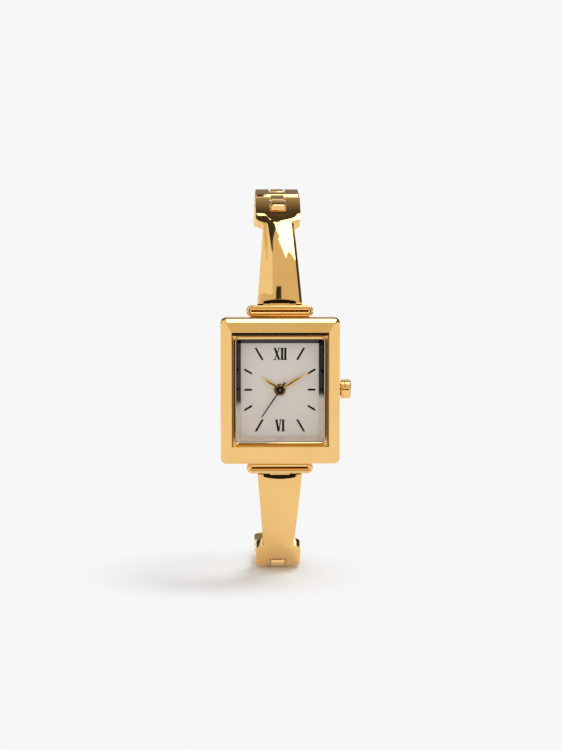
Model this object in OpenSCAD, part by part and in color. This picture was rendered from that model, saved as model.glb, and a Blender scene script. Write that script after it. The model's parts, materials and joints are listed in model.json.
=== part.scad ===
/* [Case] */
// Width of the case across the dial
case_w = 19.0; // [18:0.1:24]
// Height of the case from 12 to 6 o'clock
case_h = 23.4; // [22.6:0.1:28]
// Thickness of the case from front crest to back cover
case_t = 6.8; // [6.6:0.1:9]
// Radius of the four outer corners of the case
case_corner_r = 0.9; // [0.4:0.1:1.6]
// How far the front frame drops from its crest to its outer edge
frame_drop = 0.75; // [0.3:0.05:1.2]
// Width of the steep slope between the crest and the window
slope_w = 0.65; // [0.3:0.05:0.8]
// Depth of that slope
slope_depth = 0.65; // [0.3:0.05:0.9]
// Width of the thin rim that holds the crystal gasket
rim_w = 0.2; // [0.1:0.05:0.4]
// Depth of the closed space in front of the dial, behind the crystal
dial_well_t = 1.35; // [1.3:0.05:1.8]

/* [Crystal, rehaut and dial] */
// Width of the flat crystal
crystal_w = 14.06; // [13:0.02:14.5]
// Height of the flat crystal
crystal_h = 16.5; // [15.5:0.1:17]
// Thickness of the crystal
crystal_t = 1.0; // [0.7:0.1:1.2]
// Thickness of the gasket wall round the crystal
crystal_gasket_w = 0.25; // [0.15:0.05:0.35]
// Width of the sloping mirror ring between crystal and dial
rehaut_slope_w = 0.78; // [0.4:0.02:1]
// Thickness of the dial plate
dial_t = 0.4; // [0.3:0.05:0.5]
// Height of the printed markings above the dial
print_t = 0.04; // [0.02:0.01:0.08]
// Width of an hour marker
marker_w = 0.3; // [0.1:0.02:0.4]

/* [Hands] */
// Length of the hour hand from the centre
hour_hand_l = 3.55; // [2.5:0.05:4.5]
// Length of the minute hand from the centre
minute_hand_l = 5.45; // [4:0.05:6]
// Length of the second hand from the centre
second_hand_l = 5.25; // [4:0.05:6]
// Thickness of each hand
hand_t = 0.14; // [0.1:0.02:0.2]
// Greatest width of the hour and minute hands
hand_w = 0.62; // [0.4:0.02:0.9]

/* [Crown] */
// Diameter of the crown
crown_d = 3.08; // [2.4:0.04:3.6]
// Length of the crown
crown_l = 1.66; // [1.3:0.02:2.4]
// Gap between the case side and the crown at rest
crown_gap = 0.26; // [0.15:0.01:0.4]
// Travel of the crown when it is pulled out
crown_travel = 0.6; // [0.4:0.05:0.7]
// Diameter of the winding stem
stem_d = 0.8; // [0.6:0.05:0.9]

/* [Movement] */
// Width of the movement plate
move_w = 14.4; // [14:0.1:14.6]
// Height of the movement plate
move_h = 17.0; // [16.6:0.1:17.4]
// Thickness of the main plate
plate_t = 1.0; // [0.9:0.05:1.1]
// Diameter of the button cell
cell_d = 5.8; // [4.8:0.1:6]
// Thickness of the button cell
cell_t = 2.1; // [1.6:0.05:2.15]
// Outer diameter of the coil winding
coil_d = 1.7; // [1.2:0.05:1.8]

/* [End pieces and hinges] */
// Width of the beaded end pieces on the case
end_w = 10.7; // [9:0.1:13]
// Height of an end piece above the case
end_h = 1.65; // [1.45:0.05:2.2]
// Depth of an end piece from front to back
end_t = 2.4; // [2.2:0.1:3.4]
// Width of the hinge knuckle on an end piece
knuckle_w = 5.0; // [3.6:0.1:5.2]
// Diameter of the hinge pins
hinge_pin_d = 0.9; // [0.6:0.05:1]

/* [Bangle bars] */
// Thickness of a bar
bar_t = 1.7; // [1.5:0.05:2]
// Width of a bar at its hinge
bar_hinge_w = 7.1; // [6.6:0.1:8]
// Width of a bar at its narrow neck
bar_neck_w = 5.0; // [4.4:0.05:6]
// Radius of the bar's curve, along its middle
bar_r = 30.85; // [28:0.05:34]
// Angle on that curve at the hinge
bar_angle_hinge = 19; // [17:0.5:21]
// Angle on that curve at the pin of the forked end
bar_angle_pin = 57; // [55:0.5:59]
// Length of the wide forked end, back from its pin
fork_l = 4.75; // [4.5:0.05:6]
// Width of the links and forked ends
link_w = 7.4; // [7.1:0.1:9]

/* [Links] */
// Thickness of the links
link_t = 1.8; // [1.6:0.05:2.2]
// Distance between the two pins of a link
link_pitch = 5.6; // [5.4:0.1:7]
// Diameter of the link pins
link_pin_d = 0.8; // [0.6:0.05:0.9]
// Width of the tongue of a link
tongue_w = 2.25; // [1.8:0.05:2.6]
// Reach of the tongue in front of its pin
tongue_reach = 3.5; // [2.8:0.1:3.6]
// Rise of the upper first link at rest, towards the rear
upper_slope_1 = 14; // [6:0.5:18]
// Rise of the upper second link at rest
upper_slope_2 = -8; // [-12:0.5:0]
// Rise of the upper rear arm at rest
upper_slope_3 = -24; // [-28:0.5:-18]
// Fall of the lower first link at rest, towards the rear
lower_slope_1 = 2.5; // [1:0.5:4]

/* [Rear arms and clasp] */
// Distance of the rear of the loop behind the middle of the case
loop_depth = 44; // [42:0.5:50]
// Radius of the bend of the rear arms, along their middle
arm_bend_r = 14; // [11:0.5:15]
// Width of the narrow part of the rear arms
arm_w = 3.9; // [3.2:0.1:4.6]
// Length of the wide part of a rear arm, from its pin
arm_wide_l = 9.2; // [8:0.1:10.8]
// Thickness of the rear arms
arm_t = 1.6; // [1.4:0.05:1.8]
// Height of the clasp box along the bracelet
clasp_l = 8.4; // [7:0.1:10]
// Depth of the clasp box from inside to outside
clasp_t = 2.9; // [2.8:0.1:3.6]
// Width of the clasp box
clasp_w = 5.2; // [4.8:0.1:6]
// Thickness of the walls of the clasp box
clasp_wall = 0.45; // [0.35:0.05:0.6]
// Length of the blade that slides into the clasp box
blade_l = 4.4; // [3.6:0.1:5]
// Height of the mouth of the clasp box below the middle of the case
clasp_mouth = 3.4; // [2:0.1:5]

/* [Fits] */
// Radial clearance of a pin that turns
run_fit = 0.04; // [0.02:0.01:0.08]
// Radial clearance of a fixed pin or a seated piece
seat_fit = 0.01; // [0.005:0.005:0.02]
// Gap between neighbouring moving links
link_gap = 0.22; // [0.15:0.01:0.3]
// Gap between loosely seated covers and rings
loose_fit = 0.05; // [0.03:0.01:0.1]

/* [Hidden] */
$fn = 48;
cut = 0.02;

// Front to back stations, measured from the middle of the case
front_y = -case_t / 2;
back_y = case_t / 2;
crystal_front_y = front_y + slope_depth;
crystal_back_y = crystal_front_y + crystal_t;
dial_y = crystal_back_y + dial_well_t;
dial_back_y = dial_y + dial_t;
plate_y = dial_back_y + 0.03;
plate_back_y = plate_y + plate_t;
cover_t = 0.6;
cover_y = back_y - cover_t;
gasket_t = 0.28;
shoulder_y = cover_y - gasket_t;
lip_h = 0.45;
ring_back_y = cover_y - lip_h - loose_fit;
bridge_t = 0.22;
bridge_y = plate_back_y + 0.97;

// Window, rehaut and cavity outlines
pocket_w = crystal_w + 2 * crystal_gasket_w;
pocket_h = crystal_h + 2 * crystal_gasket_w;
window_w = pocket_w + 2 * rim_w;
window_h = pocket_h + 2 * rim_w;
view_w = crystal_w - 2 * rehaut_slope_w;
view_h = crystal_h - 2 * rehaut_slope_w;
ring_wall = 0.75;
ring_w = move_w + 2 * loose_fit + 2 * ring_wall;
ring_h = move_h + 2 * loose_fit + 2 * ring_wall;
cavity_w = ring_w + 2 * loose_fit;
cavity_h = ring_h + 2 * loose_fit;
cavity_r = 0.8;
pocket_r = 0.6;
crystal_r = 0.4;
flange_t = 0.3;
cover_margin = 0.55;
cover_w = cavity_w + 2 * cover_margin;
cover_h = cavity_h + 2 * cover_margin;

// Centre pivots of the train, in the plane of the dial
third_x = -2.6;
third_z = 1.8;
between_x = 2.35;
between_z = 1.9;
rotor_x = 3.6;
rotor_z = 4.2;
minute_x = 1.6;
minute_z = 1.6;
cell_x = -3.5;
cell_z = -4.9;
coil_z = 6.95;
mesh_gap = 0.06;
centre_gap_third = norm([third_x, third_z]);
centre_gap_between = norm([between_x, between_z]);
centre_gap_minute = norm([minute_x, minute_z]);
rotor_gap = norm([rotor_x - between_x, rotor_z - between_z]);
pinion_r = 0.45;
arbor_d = 0.24;

// Hand stack
cannon_d = 0.8;
hour_pipe_d = 1.3;
hand_gap = 0.16;
hour_hand_y = dial_y - 0.2 - hand_t;
minute_hand_y = hour_hand_y - hand_gap - hand_t;
second_hand_y = minute_hand_y - hand_gap - hand_t;
hour_hand_turn = -55;
minute_hand_turn = 59;
second_hand_turn = 214;

// Stem and crown stations
stem_y = plate_y + 0.62;
crown_x = case_w / 2 + crown_gap;
tube_d = 1.4;
tube_x = cavity_w / 2 + 0.1;
tube_out = 1.15;

// Hinge of a bar on the case
hinge_y = 0.9;
hinge_r = bar_t / 2;
hinge_z = case_h / 2 + end_h + hinge_r + 0.15;
prong_gap = 0.15;
bar_cy = hinge_y + bar_r * cos(bar_angle_hinge);
bar_cz = hinge_z - bar_r * sin(bar_angle_hinge);
neck_z = bar_cz + bar_r * sin(bar_angle_pin - fork_l / bar_r * 57.2958);
pin_y = bar_cy - bar_r * cos(bar_angle_pin);
pin_z = bar_cz + bar_r * sin(bar_angle_pin);
link_r = link_t / 2;
notch_w = tongue_w + 2 * link_gap;
notch_reach = norm([tongue_reach, link_r]) + link_gap;

// Pins of the chain, from the bar's fork to the rear arm
function step(p, slope) = [p[0] + link_pitch * cos(slope), p[1] + link_pitch * sin(slope)];
upper_pin_1 = [pin_y, pin_z];
upper_pin_2 = step(upper_pin_1, upper_slope_1);
upper_pin_3 = step(upper_pin_2, upper_slope_2);
lower_pin_1 = [pin_y, pin_z];
lower_pin_2 = step(lower_pin_1, lower_slope_1);
lower_pin_3 = step(lower_pin_2, 0);

// The watch stands on its second lower link
stand_z = lower_pin_2[1] + link_r;
stand_y = (lower_pin_2[0] + lower_pin_3[0]) / 2;

gold = [0.86, 0.68, 0.36];
steel = [0.75, 0.76, 0.78];
brass = [0.80, 0.66, 0.38];
black = [0.08, 0.08, 0.08];
pearl = [0.84, 0.82, 0.80];

// A flat outline in the plane of the dial, filled from station y0 back to y1
module slab(y0, y1) {
    translate([0, y1, 0]) rotate([90, 0, 0]) linear_extrude(y1 - y0) children();
}

// A front-to-back outline, filled across the watch over width w
module side(w) {
    rotate([90, 0, 90]) translate([0, 0, -w / 2]) linear_extrude(w) children();
}

// A rectangle with true round corners
module round_rect(w, h, r) {
    square([w - 2 * r, h], center = true);
    square([w, h - 2 * r], center = true);
    for (sx = [-1, 1], sz = [-1, 1])
        translate([sx * (w / 2 - r), sz * (h / 2 - r)]) circle(r);
}

// A rod across the watch
module across(w, d) {
    rotate([0, 90, 0]) cylinder(h = w, d = d, center = true);
}

// A round plate or rod along the depth of the watch
module disc(y0, y1, d, x = 0, z = 0) {
    translate([x, y1, z]) rotate([90, 0, 0]) cylinder(h = y1 - y0, d = d);
}

// A four-sided funnel from one outline at y0 to another at y1
module funnel(w0, h0, y0, w1, h1, y1) {
    reach = max(w0, w1, h0, h1);
    intersection() {
        translate([0, 0, -reach]) linear_extrude(2 * reach)
            polygon([[-w0 / 2, y0], [w0 / 2, y0], [w1 / 2, y1], [-w1 / 2, y1]]);
        side(2 * reach)
            polygon([[y0, -h0 / 2], [y1, -h1 / 2], [y1, h1 / 2], [y0, h0 / 2]]);
    }
}

// Half outline of the frame, from its crest down to the back, for half width h
edge_round = 0.45;
bow_w = 0.55;
edge_w = 0.14;
back_edge = 0.2;
function frame_side(h, crest) = [
    [crest, front_y],
    [h - bow_w, front_y + bow_w * frame_drop],
    [h - edge_w, front_y + frame_drop],
    [h, front_y + frame_drop + edge_round],
    [h, back_y - back_edge],
    [h - back_edge, back_y]];
function mirrored(points) = concat(points,
    [for (i = [len(points) - 1 : -1 : 0]) [-points[i][0], points[i][1]]]);
function swapped(points) = [for (p = points) [p[1], p[0]]];

module case_outside() {
    crest_x = window_w / 2 + slope_w;
    crest_z = window_h / 2 + slope_w;
    intersection() {
        translate([0, 0, -case_h]) linear_extrude(2 * case_h)
            polygon(mirrored(frame_side(case_w / 2, crest_x)));
        side(2 * case_w) polygon(swapped(mirrored(frame_side(case_h / 2, crest_z))));
        slab(front_y - cut, back_y + cut) round_rect(case_w, case_h, case_corner_r);
    }
}

past_crest = 1.1;
module case() {
    color(gold) difference() {
        case_outside();
        funnel(window_w, window_h, crystal_front_y,
            window_w + 2 * slope_w * past_crest, window_h + 2 * slope_w * past_crest,
            crystal_front_y - slope_depth * past_crest);
        slab(crystal_front_y - cut, crystal_back_y) round_rect(pocket_w, pocket_h, pocket_r);
        slab(crystal_back_y - cut, dial_y) round_rect(crystal_w, crystal_h, crystal_r);
        slab(dial_y - flange_t - loose_fit, cover_y)
            round_rect(cavity_w, cavity_h, cavity_r);
        slab(shoulder_y, back_y + cut) round_rect(cover_w, cover_h, cavity_r);
        translate([case_w / 2, stem_y, 0]) across(case_w / 2, tube_d + 2 * seat_fit);
    }
}

// Two stacked round beads, with the hinge knuckle above them
slit_h = 0.16;
bead_h = (end_h - slit_h) / 2;
bead_r = 0.32;
web_inset_w = 0.8;
web_inset_t = 0.7;
end_y = hinge_y - 0.3;
module end_piece() {
    color(gold) difference() {
        union() {
            for (z = [0, bead_h + slit_h])
                translate([0, end_y, case_h / 2 + z + bead_h / 2]) intersection() {
                    side(end_w) round_rect(end_t, bead_h, bead_r);
                    slab(-end_t, end_t) round_rect(end_w, bead_h, bead_r);
                }
            translate([0, end_y, case_h / 2 + end_h / 2])
                cube([end_w - 2 * web_inset_w, end_t - 2 * web_inset_t, bead_h], center = true);
            translate([0, hinge_y, hinge_z]) across(knuckle_w, bar_t);
            translate([0, hinge_y, case_h / 2 + end_h - bead_h / 2 + hinge_r / 2 + 0.1])
                cube([knuckle_w, bar_t * 0.7, bead_h + hinge_r], center = true);
        }
        translate([0, hinge_y, hinge_z]) across(end_w, hinge_pin_d + 2 * seat_fit);
    }
}

module upper_end_piece() { end_piece(); }
module lower_end_piece() { mirror([0, 0, 1]) end_piece(); }

module hinge_pins() {
    for (s = [-1, 1])
        color(steel) translate([0, hinge_y, s * hinge_z])
            across(bar_hinge_w - 0.3, hinge_pin_d);
}

module crystal() {
    color([0.85, 0.9, 0.92, 0.4])
        slab(crystal_front_y, crystal_back_y - loose_fit) round_rect(crystal_w - 2 * seat_fit,
            crystal_h - 2 * seat_fit, crystal_r);
}

module crystal_gasket() {
    color("white") slab(crystal_front_y + 0.05, crystal_back_y) difference() {
        round_rect(pocket_w - 2 * seat_fit, pocket_h - 2 * seat_fit, pocket_r);
        round_rect(crystal_w, crystal_h, crystal_r);
    }
}

module rehaut_ring() {
    ring_front = crystal_back_y + 0.02;
    ring_lip = 0.15;
    color(steel) difference() {
        union() {
            slab(ring_front, dial_y)
                round_rect(crystal_w - 2 * loose_fit, crystal_h - 2 * loose_fit,
                    crystal_r - loose_fit);
            slab(dial_y - flange_t, dial_y)
                round_rect(ring_w, ring_h, cavity_r);
        }
        funnel(crystal_w - 2 * ring_lip, crystal_h - 2 * ring_lip, ring_front, view_w,
            view_h, dial_y);
        slab(ring_front - cut, ring_front + cut)
            square([crystal_w - 2 * ring_lip, crystal_h - 2 * ring_lip], center = true);
        slab(dial_y - cut, dial_y + cut) square([view_w, view_h], center = true);
    }
}

module dial() {
    color(pearl) difference() {
        slab(dial_y, dial_back_y) round_rect(ring_w, ring_h, cavity_r);
        disc(dial_y - cut, dial_back_y + cut, hour_pipe_d + 0.3);
    }
}

// Outer and inner rectangles that bound the hour markers, as half sizes
marker_out_x = view_w / 2 - 0.56;
marker_out_z = view_h / 2 - 0.74;
marker_in_x = marker_out_x - 1.22;
marker_in_z = marker_out_z - 1.93;
module hour_markers() {
    for (hour = [1, 2, 3, 4, 5, 7, 8, 9, 10, 11])
        color(black) slab(dial_y - print_t, dial_y) intersection() {
            rotate(-30 * hour) translate([-marker_w / 2, 0]) square([marker_w, case_h]);
            difference() {
                square([2 * marker_out_x, 2 * marker_out_z], center = true);
                square([2 * marker_in_x, 2 * marker_in_z], center = true);
            }
        }
}

// One stroke of a numeral, from the foot at x0 to the head at x1
numeral_h = marker_out_z - marker_in_z;
serif_t = 0.11;
thick = 0.34;
thin = 0.14;
module stroke(x0, x1, w) {
    polygon([[x0 - w / 2, 0], [x0 + w / 2, 0], [x1 + w / 2, numeral_h], [x1 - w / 2, numeral_h]]);
}
module serif(x, z, w) {
    translate([x - w / 2, z]) square([w, serif_t]);
}
module letter_i() {
    stroke(0, 0, thick);
    serif(0, 0, 0.5);
    serif(0, numeral_h - serif_t, 0.5);
}
module letter_x() {
    stroke(0.36, -0.36, thick);
    stroke(-0.36, 0.36, thin);
    for (sx = [-1, 1]) {
        serif(0.36 * sx, 0, 0.42);
        serif(0.36 * sx, numeral_h - serif_t, 0.42);
    }
}
module letter_v() {
    stroke(0, -0.34, thick);
    stroke(0.06, 0.34, thin);
    for (sx = [-1, 1])
        serif(0.34 * sx, numeral_h - serif_t, 0.42);
}

module dial_numerals() {
    color(black) slab(dial_y - print_t, dial_y) {
        translate([0, marker_in_z]) {
            translate([-0.47, 0]) letter_x();
            translate([0.36, 0]) letter_i();
            translate([0.87, 0]) letter_i();
        }
        translate([0, -marker_out_z]) {
            translate([-0.22, 0]) letter_v();
            translate([0.52, 0]) letter_i();
        }
    }
}

// A tapered leaf hand that points to 12, then turns clockwise
hour_hub_d = 1.9;
minute_hub_d = 1.5;
leaf_belly = 0.42;
leaf_root = 0.14;
module leaf_hand(length, width, turn, y, hub_d, bore_d) {
    difference() {
        union() {
            slab(y, y + hand_t) rotate(-turn) polygon([[-leaf_root, 0],
                [-width / 2, leaf_belly * length], [0, length],
                [width / 2, leaf_belly * length], [leaf_root, 0]]);
            disc(y, y + hand_t, hub_d);
        }
        disc(y - cut, y + hand_t + cut, bore_d);
    }
}

module hour_hand() {
    color(gold) leaf_hand(hour_hand_l, hand_w, hour_hand_turn, hour_hand_y, hour_hub_d,
        hour_pipe_d + 2 * seat_fit);
}

module minute_hand() {
    color(gold) leaf_hand(minute_hand_l, hand_w * 0.9, minute_hand_turn, minute_hand_y,
        minute_hub_d, cannon_d + 2 * seat_fit);
}

module second_hand() {
    tail = 1.5;
    color(black) difference() {
        union() {
            slab(second_hand_y, second_hand_y + hand_t) rotate(-second_hand_turn)
                polygon([[-0.12, -tail], [-0.07, second_hand_l], [0.07, second_hand_l],
                    [0.12, -tail]]);
            disc(second_hand_y, second_hand_y + hand_t, 1.0);
        }
        disc(second_hand_y - cut, second_hand_y + hand_t + cut, arbor_d + 2 * seat_fit);
    }
}

back_lip_w = 0.6;
module case_back() {
    color(gold) {
        slab(cover_y, back_y) round_rect(cover_w - 2 * loose_fit, cover_h - 2 * loose_fit,
            cavity_r);
        slab(cover_y - lip_h, cover_y) difference() {
            round_rect(cavity_w - 2 * loose_fit, cavity_h - 2 * loose_fit, cavity_r);
            round_rect(cavity_w - 2 * back_lip_w, cavity_h - 2 * back_lip_w, cavity_r - 0.2);
        }
    }
}

module case_back_gasket() {
    color("dimgray") slab(shoulder_y + 0.01, cover_y) difference() {
        round_rect(cover_w - 2 * loose_fit, cover_h - 2 * loose_fit, cavity_r);
        round_rect(cavity_w + 2 * loose_fit, cavity_h + 2 * loose_fit, cavity_r);
    }
}

module stem_hole(d) {
    translate([cavity_w / 2, stem_y, 0]) across(cavity_w - 2 * stem_in, d);
}

module movement_ring() {
    color("ivory") difference() {
        slab(dial_back_y + 0.02, ring_back_y) difference() {
            round_rect(ring_w, ring_h, cavity_r);
            square([move_w + 2 * loose_fit, move_h + 2 * loose_fit], center = true);
        }
        stem_hole(stem_d + 0.3);
    }
}

// A wheel with short pointed teeth, between stations y0 and y1
module toothed(teeth, tip_r, root_r, y0, y1, bore) {
    turn = 360 / teeth;
    slab(y0, y1) difference() {
        polygon([for (i = [0 : teeth - 1], k = [0 : 3])
            (k < 2 ? root_r : tip_r)
                * [cos(turn * (i + 0.25 * k)), sin(turn * (i + 0.25 * k))]]);
        circle(d = bore);
    }
}

// Levels of the train behind the main plate
level_1 = plate_back_y + 0.08;
level_2 = level_1 + 0.26;
level_3 = level_2 + 0.24;
wheel_t = 0.13;
stem_in = 3.6;
groove_x = 5.2;
train_hole = 0.36;
centre_wheel_r = 2.5;
third_wheel_r = centre_gap_third - pinion_r - mesh_gap;
second_wheel_r = centre_gap_between - pinion_r - mesh_gap;
between_wheel_r = rotor_gap - pinion_r - mesh_gap;
hour_wheel_r = 1.68;
minute_pinion_r = centre_gap_minute - hour_wheel_r - mesh_gap;
cannon_leaf_r = 0.58;
minute_wheel_r = centre_gap_minute - cannon_leaf_r - mesh_gap;
works_y = plate_y + 0.6;

module main_plate() {
    color(steel) difference() {
        slab(plate_y, plate_back_y) round_rect(move_w, move_h, 0.5);
        disc(plate_y - cut, works_y, 2 * hour_wheel_r + 0.3);
        disc(plate_y - cut, works_y, 2 * minute_wheel_r + 0.3, minute_x, minute_z);
        disc(plate_y, plate_back_y + cut, 1.4);
        disc(plate_y - cut, plate_back_y + cut, cell_d + 0.16, cell_x, cell_z);
        translate([0, plate_y + plate_t / 2, coil_z])
            cube([coil_l + 0.3, plate_t + 1, coil_d + 0.2], center = true);
        translate([stem_in - 0.3, plate_y - cut, -0.75])
            cube([move_w, plate_t + 2 * cut, 1.5]);
        for (p = [[third_x, third_z], [between_x, between_z], [rotor_x, rotor_z]])
            disc(plate_back_y - 0.35, plate_back_y + cut, train_hole, p[0], p[1]);
        for (p = screw_places)
            disc(plate_back_y - 0.7, plate_back_y + cut, screw_d + 2 * seat_fit, p[0], p[1]);
    }
}

module hour_wheel() {
    color(brass) {
        toothed(32, hour_wheel_r, hour_wheel_r - 0.14, plate_y + 0.06, plate_y + 0.22,
            cannon_d + 2 * run_fit);
        slab(hour_hand_y - 0.04, plate_y + 0.07) difference() {
            circle(d = hour_pipe_d);
            circle(d = cannon_d + 2 * run_fit);
        }
    }
}

module minute_wheel() {
    wheel_y = plate_y + 0.3;
    color(brass) {
        translate([minute_x, 0, minute_z]) {
            toothed(30, minute_wheel_r, minute_wheel_r - 0.14, wheel_y, wheel_y + wheel_t, 0.1);
            toothed(8, minute_pinion_r, minute_pinion_r - 0.12, plate_y + 0.06,
                wheel_y + 0.01, 0.1);
        }
        disc(plate_y + 0.05, works_y - 0.02, arbor_d, minute_x, minute_z);
    }
}

module cannon_pinion() {
    color(steel) {
        toothed(10, cannon_leaf_r, cannon_leaf_r - 0.12, plate_y + 0.29, plate_y + 0.5,
            arbor_d + 0.16);
        slab(minute_hand_y - 0.04, level_1 - 0.01) difference() {
            circle(d = cannon_d);
            circle(d = arbor_d + 0.16);
        }
    }
}

module centre_wheel() {
    color(brass) toothed(64, centre_wheel_r, centre_wheel_r - 0.14, level_1,
        level_1 + wheel_t, arbor_d + 0.16);
}

module third_wheel() {
    color(brass) {
        translate([third_x, 0, third_z]) {
            toothed(60, third_wheel_r, third_wheel_r - 0.14, level_2, level_2 + wheel_t, 0.1);
            toothed(8, centre_gap_third - centre_wheel_r - mesh_gap,
                centre_gap_third - centre_wheel_r - mesh_gap - 0.12, level_1,
                level_2 + 0.01, 0.1);
        }
        disc(plate_back_y - 0.3, bridge_y + 0.1, arbor_d, third_x, third_z);
    }
}

module second_wheel() {
    color(brass) {
        toothed(40, second_wheel_r, second_wheel_r - 0.14, level_3, level_3 + wheel_t, 0.1);
        toothed(8, pinion_r, pinion_r - 0.12, level_2 - 0.05, level_3 + 0.01, 0.1);
        disc(second_hand_y, bridge_y + 0.1, arbor_d);
    }
}

module intermediate_wheel() {
    wheel_y = level_2;
    color(brass) {
        translate([between_x, 0, between_z]) {
            toothed(48, between_wheel_r, between_wheel_r - 0.14, wheel_y, wheel_y + wheel_t,
                0.1);
            toothed(8, pinion_r, pinion_r - 0.12, wheel_y + wheel_t - 0.01,
                level_3 + wheel_t + 0.02, 0.1);
        }
        disc(plate_back_y - 0.3, bridge_y + 0.1, arbor_d, between_x, between_z);
    }
}

magnet_d = 1.7;
stator_y = level_3 - 0.05;
stator_t = 0.34;
module rotor() {
    color("dimgray") {
        disc(stator_y, stator_y + stator_t, magnet_d, rotor_x, rotor_z);
        translate([rotor_x, 0, rotor_z])
            toothed(8, pinion_r, pinion_r - 0.12, level_2 - 0.06, stator_y + 0.01, 0.1);
        disc(plate_back_y - 0.3, bridge_y + 0.1, arbor_d, rotor_x, rotor_z);
    }
}

// The coil lies along the upper edge, with its core ends under the stator legs
coil_l = 8.2;
core_end = 6.3;
leg_w = 1.3;
core_t = stator_y - plate_back_y - 0.1;
coil_y = plate_y + plate_t - 0.02;
module coil() {
    color("peru") translate([0, coil_y, coil_z]) across(coil_l, coil_d);
    color(steel) translate([0, plate_back_y + 0.05 + core_t / 2, coil_z])
        cube([2 * core_end, core_t, leg_w], center = true);
}

module stator() {
    leg_h = coil_z - rotor_z + leg_w / 2;
    color(steel) difference() {
        slab(stator_y, stator_y + stator_t) {
            for (s = [-1, 1])
                translate([s * (core_end - leg_w / 2), coil_z + leg_w / 2 - leg_h / 2])
                    square([leg_w, leg_h], center = true);
            translate([0, rotor_z]) square([2 * core_end, 2.3], center = true);
        }
        disc(stator_y - cut, stator_y + stator_t + cut, magnet_d + 0.24, rotor_x, rotor_z);
    }
}

cell_back_y = plate_back_y + 1.15;
module button_cell() {
    color("silver") disc(cell_back_y - cell_t, cell_back_y, cell_d, cell_x, cell_z);
}

module cell_strap() {
    strap_y = cell_back_y + 0.02;
    strap_t = 0.14;
    strap_w = 1;
    color(steel) slab(strap_y, strap_y + strap_t) {
        translate([cell_x, cell_z]) circle(d = 0.45 * cell_d);
        translate([cell_x, cell_z - strap_w / 2]) square([0.43 * move_w, strap_w]);
    }
}

module circuit_board() {
    board_w = 0.472 * move_w;
    board_h = 0.27 * move_h;
    board_y = plate_back_y + 0.02;
    board_t = 0.18;
    chip_w = 0.28 * board_w;
    chip_t = 0.41;
    color("darkgreen") slab(board_y, board_y + board_t)
        translate([0.1, 0.4 - move_h / 2]) square([board_w, board_h]);
    color(black) slab(board_y + board_t - 0.01, board_y + board_t + chip_t)
        translate([0.7, -5.9]) square([chip_w, chip_w]);
}

module quartz_oscillator() {
    can_l = 4.2;
    can_d = 1.06;
    color("silver") translate([4.6, plate_back_y + 0.75, -7.1]) across(can_l, can_d);
}

screw_places = [[-5.9, 1.4], [5.9, 1.6], [-0.3, -3.2]];
screw_d = 0.5;
screw_head_d = 0.95;
post_d = 1.0;
bridge_half = move_w / 2 - 0.5;
module train_bridge() {
    color(steel) difference() {
        union() {
            slab(bridge_y, bridge_y + bridge_t)
                polygon([[-bridge_half, 0.6], [-0.85, -2.9], [-0.75, -3.75], [0.4, -3.75],
                    [1.2, -1.2], [bridge_half, 0.8], [bridge_half, 2.6], [4.9, 5.2],
                    [2.2, 5.2], [-3.6, 3.4], [-bridge_half, 2.4]]);
            for (p = screw_places)
                disc(plate_back_y, bridge_y + cut, post_d, p[0], p[1]);
        }
        for (p = screw_places)
            disc(plate_back_y - cut, bridge_y + bridge_t + cut, screw_d + 2 * seat_fit,
                p[0], p[1]);
        for (p = [[0, 0], [third_x, third_z], [between_x, between_z], [rotor_x, rotor_z]])
            disc(bridge_y - cut, bridge_y + bridge_t + cut, arbor_d + 2 * run_fit,
                p[0], p[1]);
    }
}

module bridge_screws() {
    for (p = screw_places)
        color(steel) {
            disc(plate_back_y - 0.6, bridge_y + bridge_t + 0.05, screw_d, p[0], p[1]);
            disc(bridge_y + bridge_t + 0.01, bridge_y + bridge_t + 0.18, screw_head_d,
                p[0], p[1]);
        }
}

// Crown, its recess over the tube, and the seal in that recess
recess_d = 2.1;
recess_l = 1.1;
crown_chamfer = 0.28;
crown_edge = 0.12;
module crown() {
    r = crown_d / 2;
    color(gold) translate([crown_x, stem_y, 0]) rotate([0, 90, 0]) difference() {
        rotate_extrude() polygon([[0, 0], [r - crown_edge, 0],
            [r, crown_edge], [r, crown_l - crown_chamfer], [r - 0.08, crown_l - 0.1],
            [r - crown_chamfer, crown_l], [0, crown_l]]);
        translate([0, 0, -cut]) cylinder(h = recess_l + cut, d = recess_d);
        cylinder(h = recess_l + 0.3, d = stem_d + 2 * seat_fit);
    }
}

module crown_seal() {
    seal_t = 0.4;
    color(black) translate([crown_x + 0.12, stem_y, 0]) rotate([0, 90, 0]) difference() {
        cylinder(h = seal_t, d = recess_d - 2 * seat_fit);
        translate([0, 0, -cut]) cylinder(h = seal_t + 2 * cut, d = tube_d + 2 * seat_fit);
    }
}

module crown_tube() {
    length = case_w / 2 + tube_out - tube_x;
    color(gold) translate([tube_x, stem_y, 0]) rotate([0, 90, 0]) difference() {
        cylinder(h = length, d = tube_d);
        translate([0, 0, -cut]) cylinder(h = length + 2 * cut, d = stem_d + 2 * run_fit);
    }
}

module winding_stem() {
    groove_w = 0.42;
    groove_d = 0.44;
    length = crown_x + recess_l + 0.28 - stem_in;
    color(steel) translate([stem_in, stem_y, 0]) rotate([0, 90, 0]) difference() {
        cylinder(h = length, d = stem_d);
        translate([0, 0, groove_x - stem_in]) difference() {
            cylinder(h = groove_w, d = stem_d + 1);
            cylinder(h = groove_w, d = groove_d);
        }
    }
}

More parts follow.
